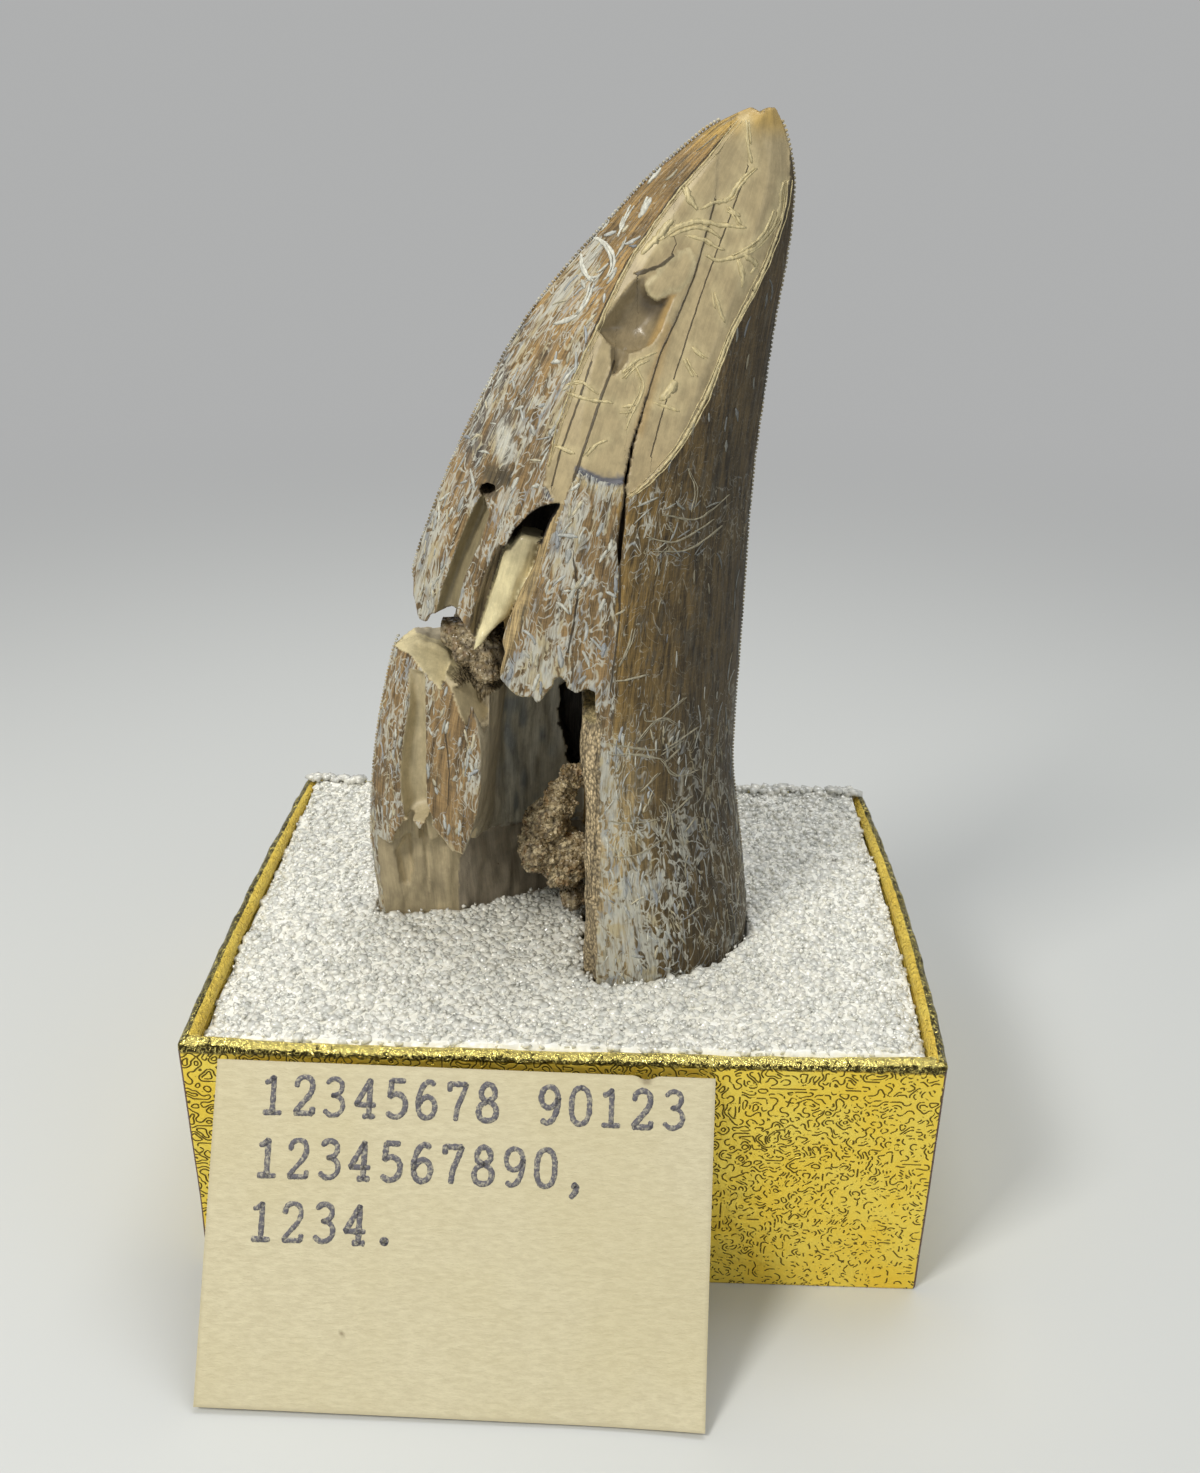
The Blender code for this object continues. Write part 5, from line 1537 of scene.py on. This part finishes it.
def roughBalls(seed, centres, sizes, flat=1.0, sides="ico"):
    # one irregular crystal for each centre
    rng = np.random.default_rng(seed)
    if sides == "ico":
        g = (1 + 5 ** 0.5) / 2
        base = np.array([(-1, g, 0), (1, g, 0), (-1, -g, 0), (1, -g, 0), (0, -1, g), (0, 1, g), (0, -1, -g),
                         (0, 1, -g), (g, 0, -1), (g, 0, 1), (-g, 0, -1), (-g, 0, 1)]) / math.hypot(1, g)
        links = np.array([(0, 11, 5), (0, 5, 1), (0, 1, 7), (0, 7, 10), (0, 10, 11), (1, 5, 9), (5, 11, 4),
                          (11, 10, 2), (10, 7, 6), (7, 1, 8), (3, 9, 4), (3, 4, 2), (3, 2, 6), (3, 6, 8),
                          (3, 8, 9), (4, 9, 5), (2, 4, 11), (6, 2, 10), (8, 6, 7), (9, 8, 1)])
    else:
        base = np.array([(1, 0, 0), (-1, 0, 0), (0, 1, 0), (0, -1, 0), (0, 0, 1), (0, 0, -1)], float)
        links = np.array([(0, 2, 4), (2, 1, 4), (1, 3, 4), (3, 0, 4), (2, 0, 5), (1, 2, 5), (3, 1, 5),
                          (0, 3, 5)])
    count = len(centres)
    spread = 1 + rng.uniform(-0.28, 0.28, (count, len(base), 1))
    shape = base[None] * spread * rng.uniform(0.75, 1.3, (count, 1, 3))
    turns = rng.standard_normal((count, 4))
    turns /= np.linalg.norm(turns, axis=1)[:, None]
    w, a, b, c = turns.T
    rotation = np.stack([
        np.stack([1 - 2 * (b * b + c * c), 2 * (a * b - c * w), 2 * (a * c + b * w)], 1),
        np.stack([2 * (a * b + c * w), 1 - 2 * (a * a + c * c), 2 * (b * c - a * w)], 1),
        np.stack([2 * (a * c - b * w), 2 * (b * c + a * w), 1 - 2 * (a * a + b * b)], 1)], 1)
    shape = np.einsum("nij,nkj->nki", rotation, shape) * np.asarray(sizes)[:, None, None]
    shape[:, :, 2] *= flat
    points = (shape + np.asarray(centres)[:, None, :]).reshape(-1, 3)
    faces = (links[None] + (np.arange(count) * len(base))[:, None, None]).reshape(-1, 3)
    return points, faces


def scattered(seed, spacing, halfX, halfY):
    rng = np.random.default_rng(seed)
    xs, ys = np.meshgrid(np.arange(-halfX, halfX, spacing), np.arange(-halfY, halfY, spacing))
    x = xs.ravel() + rng.uniform(-0.45, 0.45, xs.size) * spacing
    y = ys.ravel() + rng.uniform(-0.45, 0.45, xs.size) * spacing
    return x, y, rng


def crystalFinish():
    finish, shader, place = newFinish("clearGranules")
    milky = cloud(place, 1.3, 1.0)
    tone = blend(ease(milky, 0.35, 0.65), granules["tone"], granules["milk"])
    fromStain = vectors("DISTANCE", place, granules["stainAt"], output="Value")
    tone = blend(ease(fromStain, 0.35, 0.75, 0.8, 0.0), tone, granules["stain"])
    setLook(shader, Base_Color=tone, Roughness=0.12, Specular_IOR_Level=1.0, Coat_Weight=0.8,
            Coat_Roughness=0.10, Transmission_Weight=ease(milky, 0.36, 0.64, 0.45, 0.20), IOR=1.5)
    return finish


def bedFinish():
    finish, shader, place = newFinish("packedGrit")
    grit = cells(place, 1.7)
    tone = blend(ease(grit, 0.2, 0.8), (0.86, 0.86, 0.80), granules["bedTone"])
    setLook(shader, Base_Color=tone, Roughness=0.35)
    relief(shader, minus(1.0, grit), 0.0001)
    return finish


def makeCoarse(halfX, halfY):
    x, y, rng = scattered(110, granules["spacing"], halfX, halfY)
    size = rng.uniform(*granules["sizes"], len(x))
    z = bedHeight(x, y) - size * 0.56 + rng.uniform(-0.04, 0.08, len(x))
    room = insideTray(y, z, x) - np.abs(x) - size * 0.6
    keep = (room > 0) & (np.abs(y) + size * 0.6 < halfY) & (footDistance(x, y) > size * 0.75)
    spots, size = np.stack([x, y, z], 1)[keep], size[keep]
    # some have spilled onto the back rim
    more = int(box["width"] * 6)
    spill = rng.uniform(-box["width"] / 2 + 0.6, box["width"] / 2 - 0.8, more)
    deep = rng.uniform(halfY - 0.3, halfY + box["board"] - 0.35, more)
    big = rng.uniform(*granules["sizes"], more)
    lift = box["height"] + big * 0.6 + rng.uniform(0, 0.35, more) * (halfY + box["board"] - deep)
    spots = np.vstack([spots, np.stack([spill, deep, lift], 1)])
    points, faces = roughBalls(120, spots, np.concatenate([size, big]), 0.72)
    points[:, 2] = np.minimum(points[:, 2], granules["top"] + 1.45)
    finishPiece("granules", points, faces, crystalFinish(), None, smooth=False)
    return len(faces)


def makeFine(halfX, halfY):
    x, y, rng = scattered(130, granules["fineSpacing"], halfX, halfY - 0.1)
    size = rng.uniform(*granules["fineSizes"], len(x))
    z = bedHeight(x, y) - size * 0.5 + rng.uniform(0.0, 0.22, len(x))
    keep = ((insideTray(y, z, x) - np.abs(x) - size > 0) & (np.abs(y) + size < halfY)
            & (footDistance(x, y) > size))
    points, faces = roughBalls(131, np.stack([x, y, z], 1)[keep], size[keep], sides="octa")
    finishPiece("fineGranules", points, faces, bpy.data.materials["clearGranules"], None,
                smooth=False)
    return len(faces)


def makeBed(halfX, halfY):
    # packed grit beneath: a closed block in the tray, open where the tooth's foot stands
    cell, gap, footLevel = 0.5, 0.15, 14.0
    xs, ys = np.arange(-halfX, halfX + cell, cell), np.arange(-halfY, halfY + cell, cell)
    gx, gy = np.meshgrid(xs, ys, indexing="ij")
    top = bedHeight(gx, gy) - granules["bedBelow"] + 0.10 * softNoise(103, gx / 0.6, gy / 0.6)
    foot = footDistance(gx.ravel(), gy.ravel()).reshape(gx.shape)
    top = np.where(foot < gap, footLevel, top)
    limit = insideTray(gy, np.full_like(gx, 18.0), gx) - gap
    px = np.clip(gx, -limit, limit)
    py = np.clip(gy, -(halfY - gap), halfY - gap)
    low = np.full_like(top, box["board"] + gap)
    lowLimit = insideTray(gy, np.full_like(gx, 1.0), gx) - gap
    lowX = np.clip(px, -lowLimit, lowLimit)
    points, triangles = closedSheet(np.stack([px, py, top], -1), np.stack([lowX, py, low], -1))
    finishPiece("packedGrit", points, triangles, bedFinish(), "granule_bed")
    return len(triangles)


def makeGranules():
    halfX, halfY = box["width"] / 2, box["depth"] / 2 - box["board"]
    made = [maker(halfX, halfY) for maker in (makeCoarse, makeFine, makeBed)]
    print("granules made:", sum(made), "triangles")


# The rock left in the break: crumbly brown matrix full of small crystals

rocks = {
    # blobs: centre and radius; walls: outward normal and distance
    "lump": {"node": "matrix_lump", "seed": 201, "cell": 0.13, "knobs": 0.62, "soft": 0.9,
             "blobs": [((-2.6, -2.9, 27.2), 1.85), ((-1.8, -2.2, 29.3), 1.85), ((-0.9, -2.4, 31.3), 1.6),
                       ((-0.1, -2.4, 33.3), 1.25), ((0.2, -2.5, 35.0), 0.85), ((-0.9, -2.6, 24.9), 1.7),
                       ((0.0, -2.8, 26.8), 2.1), ((0.1, -2.2, 22.6), 1.3)],
             "walls": [((1.0, 0.0, 0.0), 1.15), ((-0.543, 0.84, 0.0), 3.3), ((0.0, 0.0, -1.0), -21.0)],
             "crystals": 3400, "crystalSizes": (0.06, 0.22)},
    "neck": {"node": "matrix_neck", "seed": 221, "cell": 0.12, "knobs": 0.30, "soft": 0.6,
             "blobs": [((-6.0, -3.2, 43.9), 1.8), ((-7.6, -2.2, 44.4), 1.9), ((-9.0, -1.9, 44.6), 1.6),
                       ((-6.4, -1.4, 44.4), 2.0), ((-7.9, -3.9, 43.8), 1.2), ((-6.3, -4.6, 43.0), 1.3)],
             "walls": [((0.0, 0.0, 1.0), 45.7), ((-0.6, 0.0, -0.8), -29.35), ((-1.0, 0.0, 0.0), 9.9),
                       ((0.0, 1.0, 0.0), 2.4), ((1.0, 0.0, 0.0), -5.1)],
             "crystals": 1200, "crystalSizes": (0.05, 0.13)},
    "tones": {"deep": (0.10, 0.075, 0.042), "brown": (0.28, 0.205, 0.105), "pale": (0.66, 0.55, 0.34),
              "rust": (0.30, 0.155, 0.05)},
}


def rockFinish():
    finish, shader, place = newFinish("matrixRock")
    tones = rocks["tones"]
    broad = cloud(place, 0.7, 4.0, 0.65)
    small = cells(place, 2.2)
    fine = cloud(place, 5.0, 2.0)
    mixed = plus(times(broad, 0.75), times(fine, 0.25))
    tone = blend(ease(mixed, 0.42, 0.62), tones["brown"], tones["pale"])
    tone = blend(ease(small, 0.45, 0.85, 0.0, 0.85), tone, tones["deep"])
    tone = blend(ease(cloud(place, 0.9, 2.0), 0.56, 0.68, 0.0, 0.45), tone, tones["rust"])
    level = axesOf(place)[2]
    # painted shade: the lump darkens towards its foot, where it lies in shadow
    tone = blend(ease(level, 23.0, 25.5, 0.6, 0.0), tone, tones["deep"])
    tone = blend(ease(level, 39.0, 41.0, 0.0, 0.35), tone, tones["deep"])
    setLook(shader, Base_Color=tone, Roughness=ease(small, 0.2, 0.7, 0.16, 0.6), Specular_IOR_Level=0.7)
    relief(shader, minus(1.0, small), 0.00030)
    return finish


def makeRock(name, finish):
    rock = rocks[name]
    centres = np.array([place for place, radius in rock["blobs"]])
    radii = np.array([radius for place, radius in rock["blobs"]])
    low, high = (centres - radii[:, None]).min(0) - 0.8, (centres + radii[:, None]).max(0) + 0.8
    axes = [np.arange(low[k], high[k], rock["cell"]) for k in range(3)]
    x, y, z = np.meshgrid(*axes, indexing="ij")
    soft = rock["soft"] * 0.4
    pull = sum(np.exp(-(np.sqrt((x - c[0]) ** 2 + (y - c[1]) ** 2 + (z - c[2]) ** 2) - r) / soft)
               for c, r in zip(centres, radii))
    field = -np.log(pull + 1e-30) * soft + 0.35
    field += 0.35 * softNoise(rock["seed"], x / 1.7, y / 1.7, z / 1.7)
    # knobs: rounded bumps round random seeds
    rng = np.random.default_rng(rock["seed"])
    seeds = rng.uniform(low, high, (int((high - low).prod() * 1.1), 3))
    nearest = np.full(x.shape, 9.0)
    for spot in seeds:
        spans = [spanOf(axes[k], spot[k] - 1.4, spot[k] + 1.4) for k in range(3)]
        part = nearest[tuple(spans)]
        gx, gy, gz = (axes[k][spans[k]] for k in range(3))
        gap = np.sqrt((gx[:, None, None] - spot[0]) ** 2 + (gy[None, :, None] - spot[1]) ** 2
                      + (gz[None, None, :] - spot[2]) ** 2)
        part[...] = np.minimum(part, gap)
    field += rock["knobs"] * (np.minimum(nearest, 1.2) - 0.55)
    for normal, distance in rock["walls"]:
        field = np.maximum(field, normal[0] * x + normal[1] * y + normal[2] * z - distance)
    points, quads = zeroSurface(field, axes, rock["cell"])
    faces = triangulated(quads[:, ::-1])
    # crystals sit on the skin, but not on the flat faces against the tooth
    chosen = rng.choice(len(points), rock["crystals"])
    spots = points[chosen] + rng.uniform(-0.05, 0.05, (rock["crystals"], 3))
    free = np.ones(len(spots), bool)
    for normal, distance in rock["walls"]:
        free &= spots @ np.array(normal) < distance - 0.25
    sizes = rng.uniform(*rock["crystalSizes"], len(spots))
    more, moreFaces = roughBalls(rock["seed"] + 1, spots[free], sizes[free])
    faces = np.vstack([faces, moreFaces + len(points)])
    points = np.vstack([points, more])
    finishPiece("matrix" + name.title(), points, faces, finish, rock["node"], sharpAngle=35)
    print("matrix", name, "made:", len(faces), "triangles")


# The card: cream paper, leaning on the rim, with typed figures

card = {
    "topLeft": (-23.7, -21.15, 20.15), "topRight": (10.7, -21.15, 19.7),
    "bottomLeft": (-24.05, -33.0, 0.45), "bottomRight": (10.35, -33.25, 0.15),
    "thickness": 0.25, "curl": 0.5, "columns": 120, "rows": 80,
    "tone": (0.645, 0.585, 0.395), "fibreTone": (0.56, 0.50, 0.33),
    "soils": ((0.862, 0.0), (0.282, 0.775)),
    "lines": ["12345678 90123", "1234567890,", "1234."],
    "pitch": 2.117, "capHeight": 2.46, "stroke": 0.37,
    "lineStarts": [(3.35, 3.45), (3.25, 7.70), (3.15, 11.95)],   # left edge and foot, from the top left
    "ink": (0.13, 0.125, 0.14),
}

# each figure as strokes through points, on a height of one
figures = {
    "0": [[(0.29, 1), (0.46, 0.92), (0.545, 0.7), (0.55, 0.5), (0.545, 0.3), (0.46, 0.08), (0.29, 0),
           (0.12, 0.08), (0.035, 0.3), (0.03, 0.5), (0.035, 0.7), (0.12, 0.92), (0.29, 1)]],
    "1": [[(0.3, 0), (0.3, 0.5), (0.3, 0.98)], [(0.3, 0.98), (0.18, 0.86), (0.07, 0.83)], [(0.06, 0),
                                                                                           (0.3, 0),
                                                                                           (0.54, 0)]],
    "2": [[(0.06, 0.74), (0.11, 0.92), (0.29, 1), (0.47, 0.93), (0.53, 0.74), (0.46, 0.52), (0.26, 0.28),
           (0.05, 0.03)], [(0.05, 0), (0.3, 0), (0.55, 0)], [(0.55, 0), (0.56, 0.15)]],
    "3": [[(0.08, 0.88), (0.2, 0.98), (0.36, 0.99), (0.5, 0.88), (0.5, 0.7), (0.4, 0.58), (0.24, 0.54)],
          [(0.24, 0.54), (0.44, 0.5), (0.55, 0.35), (0.54, 0.15), (0.4, 0.02), (0.2, 0), (0.04, 0.11)]],
    "4": [[(0.42, 0), (0.42, 0.5), (0.42, 1)], [(0.42, 1), (0.23, 0.66), (0.03, 0.31)], [(0.03, 0.31),
                                                                                         (0.3, 0.31),
                                                                                         (0.58, 0.31)],
          [(0.27, 0), (0.42, 0), (0.58, 0)]],
    "5": [[(0.51, 1), (0.32, 1), (0.13, 1)], [(0.13, 1), (0.12, 0.78), (0.1, 0.55)], [(0.1, 0.55),
                                                                                      (0.25, 0.63),
                                                                                      (0.42, 0.6),
                                                                                      (0.55, 0.45),
                                                                                      (0.55, 0.22),
                                                                                      (0.43, 0.05),
                                                                                      (0.24, 0),
                                                                                      (0.05, 0.1)]],
    "6": [[(0.5, 0.93), (0.36, 1), (0.2, 0.9), (0.09, 0.66), (0.05, 0.36), (0.12, 0.1), (0.3, 0),
           (0.48, 0.08), (0.55, 0.3), (0.48, 0.5), (0.31, 0.58), (0.14, 0.48), (0.06, 0.32)]],
    "7": [[(0.06, 0.8), (0.06, 1)], [(0.06, 0.98), (0.3, 0.98), (0.55, 0.98)], [(0.55, 0.98), (0.42, 0.62),
                                                                                (0.31, 0.34), (0.27, 0)]],
    "8": [[(0.29, 0.54), (0.12, 0.63), (0.09, 0.8), (0.18, 0.96), (0.29, 1), (0.4, 0.96), (0.49, 0.8),
           (0.46, 0.63), (0.29, 0.54), (0.09, 0.42), (0.03, 0.24), (0.1, 0.06), (0.29, 0), (0.48, 0.06),
           (0.55, 0.24), (0.49, 0.42), (0.29, 0.54)]],
    "9": [[(0.08, 0.07), (0.22, 0), (0.38, 0.1), (0.49, 0.34), (0.53, 0.64), (0.46, 0.9), (0.28, 1),
           (0.1, 0.92), (0.03, 0.7), (0.1, 0.5), (0.27, 0.42), (0.44, 0.52), (0.52, 0.68)]],
    ",": [[(0.2, 0.06), (0.3, 0.02), (0.28, -0.12), (0.16, -0.26)], [(0.22, 0.08), (0.28, 0.06)]],
    ".": [[(0.22, 0.05), (0.31, 0.02), (0.33, 0.1), (0.25, 0.12), (0.22, 0.05)], [(0.25, 0.08),
                                                                                  (0.29, 0.06)]],
    " ": [],
}


def cardPlace(u, v, lift=0.0):
    # u to the right and v down from the top left, as shares; lift is how far in front of the middle plane
    lowLeft, lowRight = np.array(card["bottomLeft"]), np.array(card["bottomRight"])
    topLeft, topRight = np.array(card["topLeft"]), np.array(card["topRight"])
    across = (lowRight - lowLeft) / np.linalg.norm(lowRight - lowLeft)
    normal = np.cross(across, topLeft - lowLeft)
    normal /= np.linalg.norm(normal)
    u, v = np.asarray(u, float)[..., None], np.asarray(v, float)[..., None]
    flat = (topLeft * (1 - u) + topRight * u) * (1 - v) + (lowLeft * (1 - u) + lowRight * u) * v
    curl = card["curl"] * np.clip((u - 0.7) / 0.3, 0, None) ** 2 * np.clip((v - 0.65) / 0.35, 0, None) ** 2
    wave = 0.05 * np.sin(u * 5 + 1) * np.sin(v * 4)
    return flat + normal * (np.asarray(lift)[..., None] + curl + wave)


def smoothStroke(points, stepsPerSpan=7):
    if len(points) < 3:
        return np.array(points)
    padded = [points[0]] + list(points) + [points[-1]]
    if points[0] == points[-1]:
        padded[0], padded[-1] = points[-2], points[1]
    path = []
    for a, b, c, d in zip(padded, padded[1:], padded[2:], padded[3:]):
        a, b, c, d = (np.array(p) for p in (a, b, c, d))
        for t in np.linspace(0, 1, stepsPerSpan, endpoint=False):
            path.append(0.5 * (2 * b + (c - a) * t + (2 * a - 5 * b + 4 * c - d) * t ** 2
                               + (3 * b - a - 3 * c + d) * t ** 3))
    path.append(np.array(points[-1]))
    return np.array(path)


def cardFinish():
    finish, shader, place = newFinish("creamCard")
    fibres = cloud(place, (1.2, 3.5, 3.5), 4.0, 0.65)
    broad = cloud(place, 0.09, 3.0)
    tone = blend(ease(fibres, 0.3, 0.72), card["fibreTone"], card["tone"])
    tone = blend(ease(broad, 0.4, 0.7, 0.0, 0.3), tone, (0.56, 0.49, 0.28))
    soiled = reading(shader, "soil")
    tone = blend(times(soiled, ease(fibres, 0.3, 0.6, 0.4, 1.0)), tone, (0.25, 0.20, 0.12))
    setLook(shader, Base_Color=tone, Roughness=0.82, Specular_IOR_Level=0.25)
    relief(shader, fibres, 0.00006)
    return finish


def inkFinish():
    finish, shader, place = newFinish("typedInk")
    patchy = cloud(place, 4.5, 3.0, 0.7)
    tone = blend(ease(patchy, 0.45, 0.68), card["ink"], (0.42, 0.39, 0.30))
    setLook(shader, Base_Color=tone, Roughness=0.75, Specular_IOR_Level=0.2)
    return finish


def makeCard():
    columns, rows, half = card["columns"], card["rows"], card["thickness"] / 2
    u, v = np.meshgrid(np.linspace(0, 1, columns + 1), np.linspace(0, 1, rows + 1), indexing="ij")
    # the paper's edges are a little soft and uneven; far is the distance to a place, in millimetres
    wide, tall = 34.4, 23.0
    edge = np.minimum(np.minimum(u, 1 - u) * wide, np.minimum(v, 1 - v) * tall)
    thin = half * (0.55 + 0.45 * step(edge, 0.0, 0.35))
    far = [np.hypot((u - across) * wide, (v - down) * tall) for across, down in card["soils"]]
    nick = 0.010 * (1 - step(far[0], 0.2, 0.9))
    front, back = cardPlace(u, v + nick, thin), cardPlace(u, v + nick, -thin)
    points, triangles = closedSheet(back, front)
    sheetPiece = finishPiece("labelCard", points, triangles, cardFinish(), "label_card",
                             sharpAngle=50)
    soil = np.maximum.reduce([1 - step(far[0], 0.1, 0.7), 1 - step(far[1], 0.06, 0.16),
                              0.25 * (1 - step(edge, 0.0, 0.3))])
    storeReading(sheetPiece.data, "soil", np.concatenate([soil.ravel(), soil.ravel()]))


def inkStroke(path, start, foot, heavier):
    # one thin inked stroke that lies in the paper's face: a closed strip, its corner numbers from start on
    width, height, half = 34.4, 23.2, card["thickness"] / 2
    points, faces = [], []
    ends = np.vstack([path[1] - path[0], path[2:] - path[:-2], path[-1] - path[-2]])
    ends /= np.linalg.norm(ends, axis=1)[:, None] + 1e-9
    side = np.stack([-ends[:, 1], ends[:, 0]], 1)
    uneven = softNoise(302, path[:, 0] / 0.12, path[:, 1] / 0.12)
    thick = card["stroke"] / 2 * heavier * (1 + 0.18 * uneven)
    path = np.vstack([path[0] - ends[0] * 0.09, path, path[-1] + ends[-1] * 0.09])
    side = np.vstack([side[0], side, side[-1]])
    thick = np.concatenate([[thick[0] * 0.5], thick, [thick[-1] * 0.5]])
    total = len(path)
    for lift in (half + 0.012, half - 0.03):
        for sign in (1, -1):
            spots = path + side * (thick * sign)[:, None]
            points += list(cardPlace(spots[:, 0] / width, (foot - spots[:, 1]) / height,
                                     np.full(total, lift)))
    for i in range(total - 1):
        a, b, c, d = (start + n * total + i for n in range(4))
        faces += [(a, a + 1, b + 1, b), (c, d, d + 1, c + 1), (a, c, c + 1, a + 1), (b, b + 1, d + 1, d)]
    for i in (0, total - 1):
        a, b, c, d = (start + n * total + i for n in range(4))
        faces.append((a, b, d, c) if i == 0 else (a, c, d, b))
    return points, faces


def makeFigures():
    rng = np.random.default_rng(301)
    points, faces = [], []
    for text, (startX, foot) in zip(card["lines"], card["lineStarts"]):
        for k, letter in enumerate(text):
            shift = rng.uniform(-0.03, 0.03, 2)
            heavier = rng.uniform(0.92, 1.1)
            for stroke in figures[letter]:
                path = smoothStroke(stroke)
                path = path * np.array([card["capHeight"] * 0.95, card["capHeight"]])
                path += np.array([startX + k * card["pitch"] + shift[0], shift[1]])
                more, moreFaces = inkStroke(path, len(points), foot, heavier)
                points += more
                faces += moreFaces
    finishPiece("typedFigures", points, triangulated(np.array(faces)), inkFinish(), None,
                smooth=False)
    print("card typed:", sum(len(text) for text in card["lines"]), "places")


makeBox()
makeGranules()
matrixFinish = rockFinish()
makeRock("lump", matrixFinish)
makeRock("neck", matrixFinish)
makeCard()
makeFigures()
